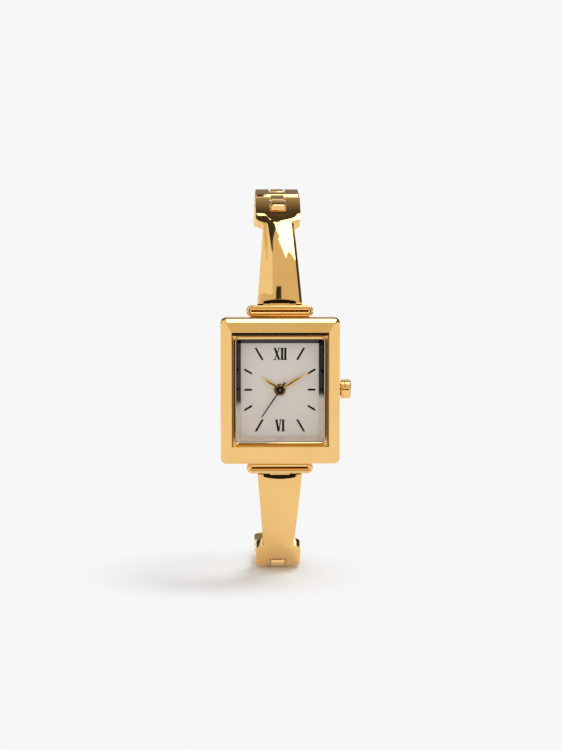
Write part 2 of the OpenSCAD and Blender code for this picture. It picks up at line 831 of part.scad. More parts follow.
module setting_lever() {
    fork_t = 0.28;
    slot_w = 0.56;
    lever_t = 0.18;
    lever_y = plate_back_y + 0.12;
    color(steel) {
        translate([groove_x + 0.07, 0, 0]) difference() {
            translate([0, stem_y - 0.1, -0.5]) cube([fork_t, lever_y - stem_y + 0.11, 1]);
            translate([0, stem_y, 0]) across(2, slot_w);
            translate([-1, stem_y - 1, -slot_w / 2]) cube([3, 1, slot_w]);
        }
        slab(lever_y, lever_y + lever_t) translate([groove_x - 0.9, -1.9]) square([1.5, 2.4]);
    }
}

// One curved bar with its hinge prongs and its forked end, on the 12 o'clock side
fork_angle = fork_l / bar_r * 180 / PI;
module bar_band() {
    out_r = bar_r + bar_t / 2;
    half = link_w / 2 + 0.2;
    facet_drop = 0.55;
    facet_end = -1.15;
    chamfer = 0.3;
    crown_end = 2.6;
    translate([0, bar_cy, bar_cz]) rotate([90, 0, 90])
        rotate_extrude(start = 180 - bar_angle_pin, angle = bar_angle_pin - bar_angle_hinge,
            $fn = 180)
            polygon([[bar_r - bar_t / 2, -half], [out_r - facet_drop, -half],
                [out_r, facet_end], [out_r, crown_end], [out_r - chamfer, half],
                [bar_r - bar_t / 2, half]]);
}

module bar() {
    shoulder = 0.45;
    color(gold) difference() {
        union() {
            intersection() {
                bar_band();
                slab(-loop_depth, loop_depth) polygon([
                    [-bar_hinge_w / 2, hinge_z - 2], [-bar_hinge_w / 2, hinge_z],
                    [-bar_neck_w / 2, neck_z - shoulder], [-link_w / 2, neck_z],
                    [-link_w / 2, 2 * pin_z], [link_w / 2, 2 * pin_z],
                    [link_w / 2, neck_z], [bar_neck_w / 2, neck_z - shoulder],
                    [bar_hinge_w / 2, hinge_z], [bar_hinge_w / 2, hinge_z - 2]]);
            }
            translate([0, hinge_y, hinge_z]) across(bar_hinge_w, bar_t);
            translate([0, pin_y, pin_z]) across(link_w, bar_t);
        }
        translate([0, hinge_y, hinge_z]) {
            across(knuckle_w + 2 * prong_gap, bar_t + 2 * link_gap);
            across(link_w, hinge_pin_d + 2 * run_fit);
        }
        translate([0, pin_y, pin_z]) {
            across(notch_w, 2 * notch_reach);
            across(2 * link_w, link_pin_d + 2 * seat_fit);
        }
    }
}

module upper_bar() { bar(); }
module lower_bar() { mirror([0, 0, 1]) bar(); }

// Puts a piece that is drawn along +Y at a chain pin, with its rise towards the rear
module at_pin(p, slope) {
    translate([0, p[0], p[1]]) rotate([slope, 0, 0]) children();
}

module chain_pin(p) {
    color(steel) translate([0, p[0], p[1]]) across(link_w - 0.1, link_pin_d);
}

module upper_bar_pin() { chain_pin(upper_pin_1); }
module upper_first_link_pin() { chain_pin(upper_pin_2); }
module upper_second_link_pin() { chain_pin(upper_pin_3); }
module lower_bar_pin() { mirror([0, 0, 1]) chain_pin(lower_pin_1); }
module lower_first_link_pin() { mirror([0, 0, 1]) chain_pin(lower_pin_2); }
module lower_second_link_pin() { mirror([0, 0, 1]) chain_pin(lower_pin_3); }

// The tongue that lies in the fork in front, with rounded front corners
body_front = link_r + link_gap;
module tongue() {
    corner = 0.35;
    side(tongue_w) {
        translate([-tongue_reach, -link_r + corner])
            square([tongue_reach + body_front + 0.1, link_t - 2 * corner]);
        translate([-tongue_reach + corner, -link_r])
            square([tongue_reach - corner + body_front + 0.1, link_t]);
        for (s = [-1, 1])
            translate([-tongue_reach + corner, s * (link_r - corner)]) circle(corner);
    }
}

module link() {
    color(gold) difference() {
        union() {
            side(link_w) {
                translate([body_front, -link_r]) square([link_pitch - body_front, link_t]);
                translate([link_pitch, 0]) circle(link_r);
            }
            tongue();
        }
        translate([0, link_pitch, 0]) {
            across(notch_w, 2 * notch_reach);
            across(2 * link_w, link_pin_d + 2 * seat_fit);
        }
        across(link_w, link_pin_d + 2 * run_fit);
    }
}

module upper_first_link() { at_pin(upper_pin_1, upper_slope_1) link(); }
module upper_second_link() { at_pin(upper_pin_2, upper_slope_2) link(); }
module lower_first_link() { mirror([0, 0, 1]) at_pin(lower_pin_1, lower_slope_1) link(); }
module lower_second_link() { mirror([0, 0, 1]) at_pin(lower_pin_2, 0) link(); }

// A rear arm: tongue, wide straight start, bend, and narrow run down to end_z
module rear_arm(p, fall, end_z) {
    bend_y = loop_depth - arm_bend_r;
    straight_l = (bend_y + arm_bend_r * sin(fall) - p[0]) / cos(fall);
    bend_z = p[1] - straight_l * sin(fall) - arm_bend_r * cos(fall);
    wide_y = p[0] + arm_wide_l * cos(fall);
    taper = 1.2;
    color(gold) difference() {
        intersection() {
            union() {
                at_pin(p, -fall) {
                    tongue();
                    side(link_w) translate([body_front, -arm_t / 2])
                        square([straight_l - body_front + cut, arm_t]);
                }
                translate([0, bend_y, bend_z]) rotate([90, 0, 90])
                    rotate_extrude(start = 0, angle = 90 - fall, $fn = 120)
                        translate([arm_bend_r - arm_t / 2, -link_w / 2])
                            square([arm_t, link_w]);
                translate([-link_w / 2, loop_depth - arm_t / 2, end_z])
                    cube([link_w, arm_t, bend_z - end_z + cut]);
            }
            translate([0, 0, -loop_depth]) linear_extrude(3 * loop_depth) polygon([
                [-link_w / 2, 0], [link_w / 2, 0], [link_w / 2, wide_y],
                [arm_w / 2, wide_y + taper], [arm_w / 2, 2 * loop_depth],
                [-arm_w / 2, 2 * loop_depth], [-arm_w / 2, wide_y + taper],
                [-link_w / 2, wide_y]]);
        }
        translate([0, p[0], p[1]]) across(link_w, link_pin_d + 2 * run_fit);
    }
}

module upper_rear_arm() { rear_arm(upper_pin_3, -upper_slope_3, clasp_l - clasp_mouth); }
module lower_rear_arm() {
    mirror([0, 0, 1]) rear_arm(lower_pin_3, 0, clasp_mouth + blade_gap);
}

// The box clasp: a box on the upper arm, a blade with a spring leaf on the lower arm
blade_gap = 0.2;
blade_t = 0.42;
blade_side_gap = 0.3;
leaf_t = 0.32;
leaf_y = 0.2;
fold_r = 0.3;
blade_top = blade_l - clasp_mouth;
blade_w = clasp_w - 2 * clasp_wall - 2 * blade_side_gap;
leaf_w = blade_w - 2 * blade_side_gap;
tab_t = 0.3;
tab_l = 0.85;
window_l = 1.2;
module clasp_box() {
    color(gold) translate([0, loop_depth, clasp_l / 2 - clasp_mouth]) difference() {
        side(clasp_w) round_rect(clasp_t, clasp_l, 0.3);
        translate([0, 0, -clasp_wall]) cube([clasp_w - 2 * clasp_wall,
            clasp_t - 2 * clasp_wall, clasp_l], center = true);
        translate([0, clasp_t / 2, -clasp_l / 2])
            cube([leaf_w + 2 * blade_side_gap, clasp_t, window_l], center = true);
    }
}

module clasp_blade() {
    root_z = -clasp_mouth - blade_gap;
    color(gold) {
        translate([-blade_w / 2, loop_depth - leaf_y - blade_t, root_z])
            cube([blade_w, blade_t, blade_top - root_z]);
        translate([0, loop_depth - leaf_y - blade_t + fold_r, blade_top])
            across(blade_w, 2 * fold_r);
    }
}

module clasp_spring() {
    low_z = -clasp_mouth + 0.1;
    color(steel) {
        translate([-leaf_w / 2, loop_depth + leaf_y, low_z])
            cube([leaf_w, leaf_t, blade_top - low_z]);
        translate([-leaf_w / 2, loop_depth + leaf_y, low_z])
            cube([leaf_w, tab_l, tab_t]);
    }
}

// Stands the watch on its second lower link, with the dial facing the front
translate([0, -stand_y, stand_z]) {
    case();
    upper_end_piece();
    lower_end_piece();
    hinge_pins();
    crystal();
    crystal_gasket();
    rehaut_ring();
    dial();
    hour_markers();
    dial_numerals();
    hour_hand();
    minute_hand();
    second_hand();
    case_back();
    case_back_gasket();
    movement_ring();
    main_plate();
    hour_wheel();
    minute_wheel();
    cannon_pinion();
    centre_wheel();
    third_wheel();
    second_wheel();
    intermediate_wheel();
    rotor();
    stator();
    coil();
    button_cell();
    cell_strap();
    circuit_board();
    quartz_oscillator();
    train_bridge();
    bridge_screws();
    crown();
    crown_seal();
    crown_tube();
    winding_stem();
    setting_lever();
    upper_bar();
    lower_bar();
    upper_bar_pin();
    lower_bar_pin();
    upper_first_link();
    upper_second_link();
    lower_first_link();
    lower_second_link();
    upper_first_link_pin();
    upper_second_link_pin();
    lower_first_link_pin();
    lower_second_link_pin();
    upper_rear_arm();
    lower_rear_arm();
    clasp_box();
    clasp_blade();
    clasp_spring();
}
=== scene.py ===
"""Dresses the gold bangle watch: polished gold, mirror steel, pearl dial and a soft white studio.

Shapes are in millimetres from the middle of the case until they are finished. The studio is in
metres.
"""

import json
import logging
import math
from dataclasses import dataclass, field
from enum import Enum
from typing import Sequence

import bmesh
import bpy
from mathutils import Matrix, Vector

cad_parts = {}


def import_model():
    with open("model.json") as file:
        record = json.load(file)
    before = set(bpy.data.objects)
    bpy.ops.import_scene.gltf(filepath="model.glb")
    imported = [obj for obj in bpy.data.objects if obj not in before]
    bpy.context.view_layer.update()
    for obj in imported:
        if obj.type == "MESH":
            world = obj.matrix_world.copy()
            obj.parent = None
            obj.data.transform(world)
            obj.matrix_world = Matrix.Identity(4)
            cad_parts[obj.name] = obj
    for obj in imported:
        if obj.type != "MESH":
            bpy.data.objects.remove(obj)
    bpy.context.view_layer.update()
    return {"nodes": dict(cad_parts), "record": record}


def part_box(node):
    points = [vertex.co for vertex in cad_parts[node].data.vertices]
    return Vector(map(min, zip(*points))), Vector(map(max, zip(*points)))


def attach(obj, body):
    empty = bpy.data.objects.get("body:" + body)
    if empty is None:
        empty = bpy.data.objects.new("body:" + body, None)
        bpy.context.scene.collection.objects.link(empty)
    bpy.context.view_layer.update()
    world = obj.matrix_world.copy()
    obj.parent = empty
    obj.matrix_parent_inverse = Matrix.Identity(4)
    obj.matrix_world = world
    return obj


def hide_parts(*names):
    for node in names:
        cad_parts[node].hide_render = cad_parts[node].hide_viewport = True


log = logging.getLogger("watch")

MM = 0.001
Point = tuple[float, float]
Colour = Triple = tuple[float, float, float]
Socket, Node = bpy.types.NodeSocket, bpy.types.Node
Mesh, Material, Piece = bpy.types.Mesh, bpy.types.Material, bpy.types.Object
Edges = list[bmesh.types.BMEdge]
CASE_DEPTH = 6.8
STEM_Y = 0.65
HINGE: Point = (0.9, 14.35)
BEAD, SLIT = 0.845, 0.16
CASE_WIDTH, CASE_HEIGHT = 19.0, 23.4
SMOOTH_ANGLE = 32.0
WHITE: Colour = (1.0, 1.0, 1.0)
# Near-black gold that is painted into the case's hollows as shade.
SHADED_GOLD: Colour = (0.025, 0.016, 0.008)


class Slot(Enum):
    """Material slots of the record that the dressed pieces take their finish from."""

    GOLD = "gold_plate"
    MIRROR = "mirror_steel"
    STEEL = "movement_steel"
    BRASS = "train_brass"
    GLASS = "crystal_glass"
    DIAL = "dial_pearl"
    PRINT = "dial_print"
    HAND = "hand_gold"
    BLACK_HAND = "hand_black"
    NYLON = "white_nylon"
    RUBBER = "seal_rubber"
    COPPER = "coil_copper"
    BOARD = "board_green"
    CELL = "cell_steel"
    MAGNET = "rotor_magnet"


class Axis(Enum):
    """Directions that a shape can be turned about or extruded along."""

    ACROSS = Vector((1, 0, 0))
    DEPTH = Vector((0, 1, 0))


# Shader nodes


class Value:
    """A number that flows between shader nodes, with arithmetic that adds Math nodes."""

    def __init__(self, net: "Net", socket: Socket) -> None:
        """Wraps one output socket of the given net."""
        self.net = net
        self.socket = socket

    def __add__(self, other: "Value | float") -> "Value":
        """Sum."""
        return self.net.math("ADD", self, other)

    __radd__ = __add__

    def __sub__(self, other: "Value | float") -> "Value":
        """Difference."""
        return self.net.math("SUBTRACT", self, other)

    def __rsub__(self, other: "Value | float") -> "Value":
        """Difference with the number first."""
        return self.net.math("SUBTRACT", other, self)

    def __mul__(self, other: "Value | float") -> "Value":
        """Product."""
        return self.net.math("MULTIPLY", self, other)

    __rmul__ = __mul__

    def __abs__(self) -> "Value":
        """Size without its sign."""
        return self.net.math("ABSOLUTE", self)

    def step(self, low: float, high: float) -> "Value":
        """Smooth step from 0 at low to 1 at high, which may also be the smaller one."""
        settings = {"interpolation_type": "SMOOTHSTEP"}
        start, end, first, last = (low, high, 0.0, 1.0) if low < high else (high, low, 1.0, 0.0)
        return self.net.value("ShaderNodeMapRange", settings, self, start, end, first, last)

    def rise(self, place: float, softness: float) -> "Value":
        """Step from 0 to 1 that starts at a place, in millimetres."""
        return self.step(place * MM, (place + softness) * MM)

    def fade(self, place: float, softness: float) -> "Value":
        """Step from 1 to 0 that ends at a place, in millimetres."""
        return self.step(place * MM, (place - softness) * MM)


class Net:
    """The node tree of one material or world."""

    def __init__(self, owner: Material | bpy.types.World) -> None:
        """Turns nodes on for the owner and empties its tree."""
        owner.use_nodes = True
        self.tree = owner.node_tree
        self.tree.nodes.clear()

    def node(
        self, kind: str, settings: dict | None = None, *values: object, **named: object
    ) -> Node:
        """Adds any node.

        Args:
            kind: Blender's name of the node type.
            settings: properties of the node.
            values: values, sockets or constants for the inputs, in order.
            named: the same by input name, with underscores for spaces.

        Returns:
            The new node.
        """
        node = self.tree.nodes.new(kind)
        for key, setting in (settings or {}).items():
            setattr(node, key, setting)
        for socket, value in zip(node.inputs, values):
            self.feed(socket, value)
        for key, value in named.items():
            self.feed(node.inputs[key.replace("_", " ")], value)
        return node

    def feed(self, socket: Socket, value: object) -> None:
        """Links a value or output to an input, or writes a constant there."""
        if isinstance(value, Value):
            self.tree.links.new(value.socket, socket)
        elif isinstance(value, Socket):
            self.tree.links.new(value, socket)
        elif socket.type == "RGBA" and len(value) == 3:
            socket.default_value = (*value, 1.0)
        else:
            socket.default_value = value

    def value(self, kind: str, settings: dict | None, *values: object) -> Value:
        """Adds a node and returns its first output as a value."""
        return Value(self, self.node(kind, settings, *values).outputs[0])

    def math(self, operation: str, *terms: Value | float) -> Value:
        """Adds one Math node for the named operation and returns its result."""
        return self.value("ShaderNodeMath", {"operation": operation}, *terms)

    def place(self) -> Socket:
        """Position on the piece, in metres."""
        return self.node("ShaderNodeTexCoord").outputs["Object"]

    def noise(
        self, scale: float, detail: float = 3.0, stretch: Sequence[float] = (1, 1, 1)
    ) -> Value:
        """Fractal noise on the piece, about 0.5 in the middle.

        Args:
            scale: how many bumps there are per metre.
            detail: how many finer layers it has.
            stretch: extra scale along each axis, for streaks.

        Returns:
            The noise as a value.
        """
        mapping = self.node("ShaderNodeMapping", None, Vector=self.place(), Scale=stretch)
        node = self.node(
            "ShaderNodeTexNoise", None, Vector=mapping.outputs[0], Scale=scale, Detail=detail
        )
        return Value(self, node.outputs[0])

    def hairs(self, stretch: Sequence[float] = (1, 1, 1)) -> Value:
        """Hair-fine scratches, stretched along the axes as in noise()."""
        return self.noise(5200.0, 5.0, stretch)

    def clouds(self, scale: float, detail: float = 3.0, full: float = 0.75) -> Value:
        """Soft patches from 0 to 1, with the scale and detail of noise()."""
        return self.noise(scale, detail).step(0.3, full)

    def axes(self) -> tuple[Value, Value, Value]:
        """The three coordinates of the position on the piece."""
        split = self.node("ShaderNodeSeparateXYZ", None, self.place())
        return tuple(Value(self, output) for output in split.outputs)

    def highest(self, first: Value, second: Value) -> Value:
        """The higher of two values."""
        return self.math("MAXIMUM", first, second)

    def distance(self, first: Value, second: Value) -> Value:
        """Length of the slanting line over two sides at right angles."""
        return self.math("SQRT", first * first + second * second)

    def blend(self, factor: Value, first: object, second: object) -> Socket:
        """A colour between two colours."""
        node = self.node("ShaderNodeMix", {"data_type": "RGBA"}, Factor=factor)
        self.feed(node.inputs[6], first)
        self.feed(node.inputs[7], second)
        return node.outputs[2]

    def bump(self, height: Value, strength: float, depth: float) -> Socket:
        """A normal that follows a height, with its depth in metres."""
        return self.node(
            "ShaderNodeBump", None, Strength=strength, Distance=depth, Height=height
        ).outputs[0]

    def surface(self, shader: Node, output: str = "ShaderNodeOutputMaterial") -> None:
        """Sends a shader to an output node of the named type."""
        self.node(output, None, shader.outputs[0])

    def mix(self, share: Value, first: Node, second: Node) -> Node:
        """Mixes two shaders by the share of the second."""
        return self.node("ShaderNodeMixShader", None, share, first.outputs[0], second.outputs[0])

    def principled(self, **named: object) -> None:
        """Ends the material with one Principled shader."""
        self.surface(self.node("ShaderNodeBsdfPrincipled", None, **named))


# Finishes


@dataclass(frozen=True)
class Finish:
    """A finish of one material slot."""

    slot: Slot

    def make(self) -> Material:
        """Builds the material under the name of its slot."""
        material = bpy.data.materials.new(self.slot.value)
        self.paint(Net(material))
        return material

    def paint(self, net: Net) -> None:
        """Adds the finish to an empty node tree."""
        raise NotImplementedError


@dataclass(frozen=True)
class Toned(Finish):
    """A finish that varies between two tones."""

    colour: Colour
    deep: Colour


@dataclass(frozen=True)
class PolishedMetal(Toned):
    """Polished or plated metal with faint clouds and hair-fine scratches, and painted shade in the
    case's hollows when a middle is given.
    """

    roughness: float = 0.07
    scratch: float = 0.05
    scratch_depth: float = 2e-7
    grain: Triple = (1.0, 1.0, 0.12)
    painted_shade_middle: Vector | None = None

    def shade(self, net: Net) -> Value:
        """Painted shade: where the metal is painted dark, in the hinge pockets, the slits and at
        the window's edge.

        Args:
            net: node tree of the material.

        Returns:
            1 in those places and 0 elsewhere.
        """
        x, y, z = net.axes()
        hinge_y, hinge_z = HINGE
        slit_z = CASE_HEIGHT / 2 + BEAD + SLIT / 2
        pocket_half, slit_half, slope_half = 2.68, 4.32, 2.65
        slope_low, slope_high, wall_inside, wall_outside = 8.74, 9.34, 7.49, 7.77
        across, above = abs(x - self.painted_shade_middle.x), z - self.painted_shade_middle.z
        deep, height = y - (self.painted_shade_middle.y + hinge_y * MM), abs(above)
        front = (y - self.painted_shade_middle.y).fade(-2.7, 0.05)
        # Painted shade in the hinge pockets and the slit between the beads, and painted shade and
        # dark reflection on the slope above the glass and on the window's side walls.
        pocket = net.distance(deep, height - hinge_z * MM).fade(0.66, 0.06)
        slit = abs(height - slit_z * MM).fade(0.07, 0.01)
        slope = above.rise(slope_low, 0.06) * above.fade(slope_high, 0.04)
        wall = across.rise(wall_inside, 0.04) * across.fade(wall_outside, 0.04)
        wall_ends = above.rise(-8.95, 0.1) * above.fade(9.35, 0.1) * 0.7
        pocket = pocket * across.fade(pocket_half, 0.08)
        slit = slit * across.fade(slit_half, 0.06)
        slope = slope * front * (across - above * 0.55).fade(slope_half, 0.05)
        wall = wall * wall_ends * front
        return net.highest(net.highest(pocket, slit), net.highest(slope, wall))

    def paint(self, net: Net) -> None:
        """Adds the finish to an empty node tree."""
        cloud = net.clouds(260.0, 4.0, 0.72)
        hair = net.hairs(self.grain)
        rub = net.noise(900.0, 2.0).step(0.45, 0.75)
        colour = net.blend(cloud, self.deep, self.colour)
        if self.painted_shade_middle is not None:
            # Painted shade: those places take the near-black SHADED_GOLD instead of the metal's
            # colour.
            colour = net.blend(self.shade(net), colour, SHADED_GOLD)
        net.principled(
            Base_Color=colour,
            Metallic=1.0,
            Roughness=self.roughness + hair * self.scratch + rub * (self.scratch * 0.5),
            Normal=net.bump(hair, 0.35, self.scratch_depth),
        )


@dataclass(frozen=True)
class RingedMetal(Toned):
    """Machined metal with fine, slightly wavy lines across it."""

    pitch: float = 0.12 * MM
    roughness: float = 0.28

    def paint(self, net: Net) -> None:
        """Adds the finish to an empty node tree."""
        wave = net.node(
            "ShaderNodeTexWave", {"wave_type": "BANDS", "bands_direction": "DIAGONAL"},
            net.place(), Scale=math.pi / (10 * self.pitch), Distortion=1.2, Detail=2.0,
        )
        line = Value(net, wave.outputs[1])
        tone = line * 0.35 + net.clouds(500.0) * 0.65
        net.principled(
            Base_Color=net.blend(tone, self.deep, self.colour),
            Metallic=1.0,
            Roughness=self.roughness + line * 0.12,
            Normal=net.bump(line, 0.4, 2e-6),
        )


@dataclass(frozen=True)
class PaintedShadeMirror(Finish):
    """The sloping mirror ring, painted dark above as shade and dark reflection, in its own bright
    colour below.
    """

    bright: Colour
    painted_shade_colour: Colour
    middle: Vector
    lean: float = 0.1

    def paint(self, net: Net) -> None:
        """Adds the finish to an empty node tree."""
        x, _, z = net.axes()
        height = z - self.middle.z - (x - self.middle.x) * self.lean
        # Painted shade: the ring's colour darkens from the bright colour below to near black
        # above, and it turns glossier there.
        painted_shade = height.rise(-2.2, 1.3)
        hair = net.hairs()
        net.principled(
            Base_Color=net.blend(painted_shade, self.bright, self.painted_shade_colour),
            Metallic=1.0,
            Roughness=0.45 - painted_shade * 0.38 + hair * 0.05,
            Normal=net.bump(hair, 0.3, 2e-7),
        )


@dataclass(frozen=True)
class PearlDial(Toned):
    """Satin silver-white dial with a faint sunray from its middle, a fine grain, and painted shade
    round the edge of its window and towards the bottom.
    """

    middle: Vector
    half_view: Point
    rim_shade_width: float = 0.45 * MM
    rays: float = 60.0

    def paint(self, net: Net) -> None:
        """Adds the finish to an empty node tree."""
        x, _, z = net.axes()
        x, z = x - self.middle.x, z - self.middle.z
        angle = net.math("ARCTAN2", z, x)
        around = net.node("ShaderNodeCombineXYZ", None, angle * self.rays, 0.0, 0.0).outputs[0]
        noise = net.node("ShaderNodeTexNoise", None, Vector=around, Scale=1.0, Detail=4.0)
        ray = Value(net, noise.outputs[0])
        grain = net.noise(14000.0, 3.0)
        # Painted shade: darker in a band round the edge of the window, where the frame shades the
        # dial, and darker towards the bottom.
        edge = net.highest(*(
            abs(place).step(half - self.rim_shade_width, half) for place, half in zip((x, z), self.half_view)
        ))
        tone = ray * 0.08 + grain * 0.05 + edge * 0.3 + z.fade(4.0, 13.0) * 0.35
        net.principled(
            Base_Color=net.blend(tone, self.colour, self.deep),
            Metallic=0.12,
            Roughness=0.34 + grain * 0.1,
            Normal=net.bump(grain, 0.25, 1.5e-6),
        )


@dataclass(frozen=True)
class Moulded(Toned):
    """Plastic, rubber, varnish, print or ceramic with a fine surface grain."""

    roughness: float = 0.4
    grain_depth: float = 3e-6
    coat: float = 0.0
    shine: float = 0.5

    def paint(self, net: Net) -> None:
        """Adds the finish to an empty node tree."""
        grain = net.noise(6500.0, 4.0)
        cloud = net.clouds(420.0)
        net.principled(
            Base_Color=net.blend(cloud * 0.7 + grain * 0.3, self.deep, self.colour),
            Roughness=self.roughness + grain * 0.12,
            Coat_Weight=self.coat,
            Specular_IOR_Level=self.shine,
            Normal=net.bump(grain, 0.3, self.grain_depth),
        )


@dataclass(frozen=True)
class CircuitVarnish(Finish):
    """Green varnish over copper tracks."""

    colour: Triple
    track: Colour

    def paint(self, net: Net) -> None:
        """Adds the finish to an empty node tree."""
        upright = (math.pi / 2, 0.0, 0.0)
        flat = net.node("ShaderNodeMapping", None, Vector=net.place(), Rotation=upright)
        brick = net.node(
            "ShaderNodeTexBrick", {"offset": 0.35, "squash": 1.6}, flat.outputs[0],
            Color1=self.colour, Color2=self.colour, Mortar=self.track, Scale=1100.0,
            Mortar_Size=0.03,
        )
        grain = net.noise(5000.0, 3.0)
        net.principled(
            Base_Color=brick.outputs[0],
            Roughness=0.3 + grain * 0.15,
            Coat_Weight=0.4,
            Normal=net.bump(grain, 0.3, 4e-6),
        )


@dataclass(frozen=True)
class WoundCopper(Toned):
    """Enamelled copper wire wound round a core that lies across the watch."""

    wire: float = 0.06 * MM

    def paint(self, net: Net) -> None:
        """Adds the finish to an empty node tree."""
        x, _, _ = net.axes()
        turn = x * (2 * math.pi / self.wire)
        wire = net.math("SINE", turn) * 0.5 + 0.5
        net.principled(
            Base_Color=net.blend(wire, self.deep, self.colour),
            Metallic=0.85,
            Roughness=0.3 + net.noise(3000.0) * 0.15,
            Normal=net.bump(wire, 0.6, 8e-6),
        )


@dataclass(frozen=True)
class CrystalGlass(Finish):
    """Clear mineral glass that lets the studio light through to the dial."""

    head_on: float = 0.004

    def paint(self, net: Net) -> None:
        """Adds the finish to an empty node tree."""
        smear = net.noise(180.0, 3.0).step(0.5, 0.85)
        clear = net.node("ShaderNodeBsdfTransparent", None, WHITE)
        gloss = net.node(
            "ShaderNodeBsdfPrincipled", None, Base_Color=WHITE, Metallic=1.0,
            Roughness=0.015 + smear * 0.02,
        )
        facing = Value(net, net.node("ShaderNodeLayerWeight", None, 0.5).outputs["Facing"])
        square = facing * facing
        share = square * square * facing * (1 - self.head_on) + self.head_on
        net.surface(net.mix(share, clear, gloss))


# Shapes


class Shape:
    """One mesh in the making, in millimetres from the middle of the case."""

    def __init__(self) -> None:
        """Starts empty."""
        self.bm = bmesh.new()

    def ring(
        self, width: float, height: float, radius: float, y: float, rise: float = 0.0,
        steps: int = 6,
    ) -> Edges:
        """Adds a rectangular ring with round corners, facing the front.

        Args:
            width: size across the watch.
            height: size up the watch.
            radius: corner radius.
            y: its station from front to back.
            rise: how far its middle lies above the middle of the case.
            steps: edges in each corner.

        Returns:
            Its edges.
        """
        count = 4 * (steps + 1)
        made = bmesh.ops.create_circle(self.bm, segments=count, radius=1.0)["verts"]
        for index, vert in enumerate(made):
            quarter, part = divmod(index, steps + 1)
            angle = math.pi / 2 * (quarter + part / steps)
            side_x = 1 if quarter in (0, 3) else -1
            side_z = 1 if quarter in (0, 1) else -1
            vert.co = (
                side_x * (width / 2 - radius) + radius * math.cos(angle),
                y,
                rise + side_z * (height / 2 - radius) + radius * math.sin(angle),
            )
        return list({edge for vert in made for edge in vert.link_edges})

    def skin(self, rings: Sequence[Edges], closed: bool = False) -> None:
        """Joins rings into a surface, and the last one to the first if it is closed."""
        pairs = list(zip(rings, rings[1:]))
        if closed:
            pairs.append((rings[-1], rings[0]))
        for first, second in pairs:
            bmesh.ops.bridge_loops(self.bm, edges=[*first, *second])

    def cap(self, ring: Edges) -> None:
        """Fills a ring with one face."""
        bmesh.ops.contextual_create(self.bm, geom=ring)

    def stack(self, rings: Sequence[tuple[float, ...]]) -> None:
        """Adds a solid through rings, each given as the values that ring() takes."""
        made = [self.ring(*ring) for ring in rings]
        self.skin(made)
        self.cap(made[0])
        self.cap(made[-1])

    def block(
        self, size: Sequence[float], centre: Sequence[float], rounding: float = 0.06,
        segments: int = 3,
    ) -> None:
        """Adds a box with rounded edges.

        Args:
            size: its full sizes.
            centre: its middle.
            rounding: radius of its edges.
            segments: faces over each rounded edge.
        """
        verts = bmesh.ops.create_cube(self.bm, size=1.0)["verts"]
        bmesh.ops.scale(self.bm, vec=Vector(size), verts=verts)
        made = bmesh.ops.bevel(
            self.bm, geom=list({edge for vert in verts for edge in vert.link_edges}),
            offset=rounding, offset_type="OFFSET", segments=segments, profile=0.5,
            affect="EDGES", material=-1, clamp_overlap=True,
        )
        verts = {vert for vert in verts if vert.is_valid} | set(made["verts"])
        bmesh.ops.translate(self.bm, vec=Vector(centre), verts=list(verts))

    def prism(
        self, outline: Sequence[Point], width: float, x: float = 0.0, axis: Axis = Axis.ACROSS
    ) -> None:
        """Extrudes a flat outline.

        Args:
            outline: points as (y, z), or as (x, z) when it goes through the depth.
            width: how far it is extruded, half to each side.
            x: middle of the extrusion on its axis.
            axis: ACROSS or DEPTH.
        """
        start = x - width / 2
        if axis is Axis.ACROSS:
            points = [(start, a, b) for a, b in outline]
        else:
            points = [(a, start, b) for a, b in outline]
        face = self.bm.faces.new([self.bm.verts.new(point) for point in points])
        made = bmesh.ops.extrude_face_region(self.bm, geom=[face])["geom"]
        far = [item for item in made if isinstance(item, bmesh.types.BMVert)]
        bmesh.ops.translate(self.bm, vec=axis.value * width, verts=far)

    def lathe(
        self, profile: Sequence[Point], axis: Axis, centre: Sequence[float] = (0, 0, 0),
        steps: int = 48, closed: bool = False,
    ) -> None:
        """Turns a profile once round an axis.

        Args:
            profile: points as (place along the axis, radius).
            axis: direction of the axis.
            centre: a point on it, where the profile's 0 lies.
            steps: faces round the axis.
            closed: True if the profile's last point joins its first.
        """
        base, out = Vector(centre), Vector((0, 0, 1))
        chain = [self.bm.verts.new(base + axis.value * a + out * r) for a, r in profile]
        pairs = list(zip(chain, chain[1:]))
        if closed:
            pairs.append((chain[-1], chain[0]))
        edges = [self.bm.edges.new(pair) for pair in pairs]
        before = set(self.bm.verts)
        bmesh.ops.spin(
            self.bm, geom=chain + edges, cent=base, axis=axis.value,
            angle=2 * math.pi, steps=steps, use_merge=True,
        )
        verts = [v for v in self.bm.verts if v not in before] + [v for v in chain if v.is_valid]
        bmesh.ops.remove_doubles(self.bm, verts=verts, dist=1e-5)

    def sweep(self, sections: Sequence[Sequence[Vector]]) -> None:
        """Joins cross sections of equal count into one solid with flat ends."""
        rings = []
        for section in sections:
            verts = [self.bm.verts.new(point) for point in section]
            rings.append([self.bm.edges.new((a, b)) for a, b in zip(verts, verts[1:] + verts[:1])])
        self.skin(rings)
        self.cap(rings[0])
        self.cap(rings[-1])

    def blade(self, stations: Sequence[Point], outline: Sequence[Point], turn: float) -> None:
        """Adds the blade of a hand.

        Args:
            stations: its (reach from the middle, width) in order.
            outline: its cross section as (share of half the width, y).
            turn: clockwise angle from 12 o'clock, in degrees.
        """
        self.sweep([
            [Vector((share * (width / 2), y, reach)) for share, y in outline]
            for reach, width in stations
        ])
        bmesh.ops.rotate(
            self.bm, cent=(0, 0, 0), matrix=Matrix.Rotation(math.radians(turn), 3, "Y"),
            verts=self.bm.verts,
        )

    def flip_up(self) -> None:
        """Mirrors the whole shape between the 12 and 6 o'clock sides."""
        bmesh.ops.scale(self.bm, vec=(1, 1, -1), verts=self.bm.verts)

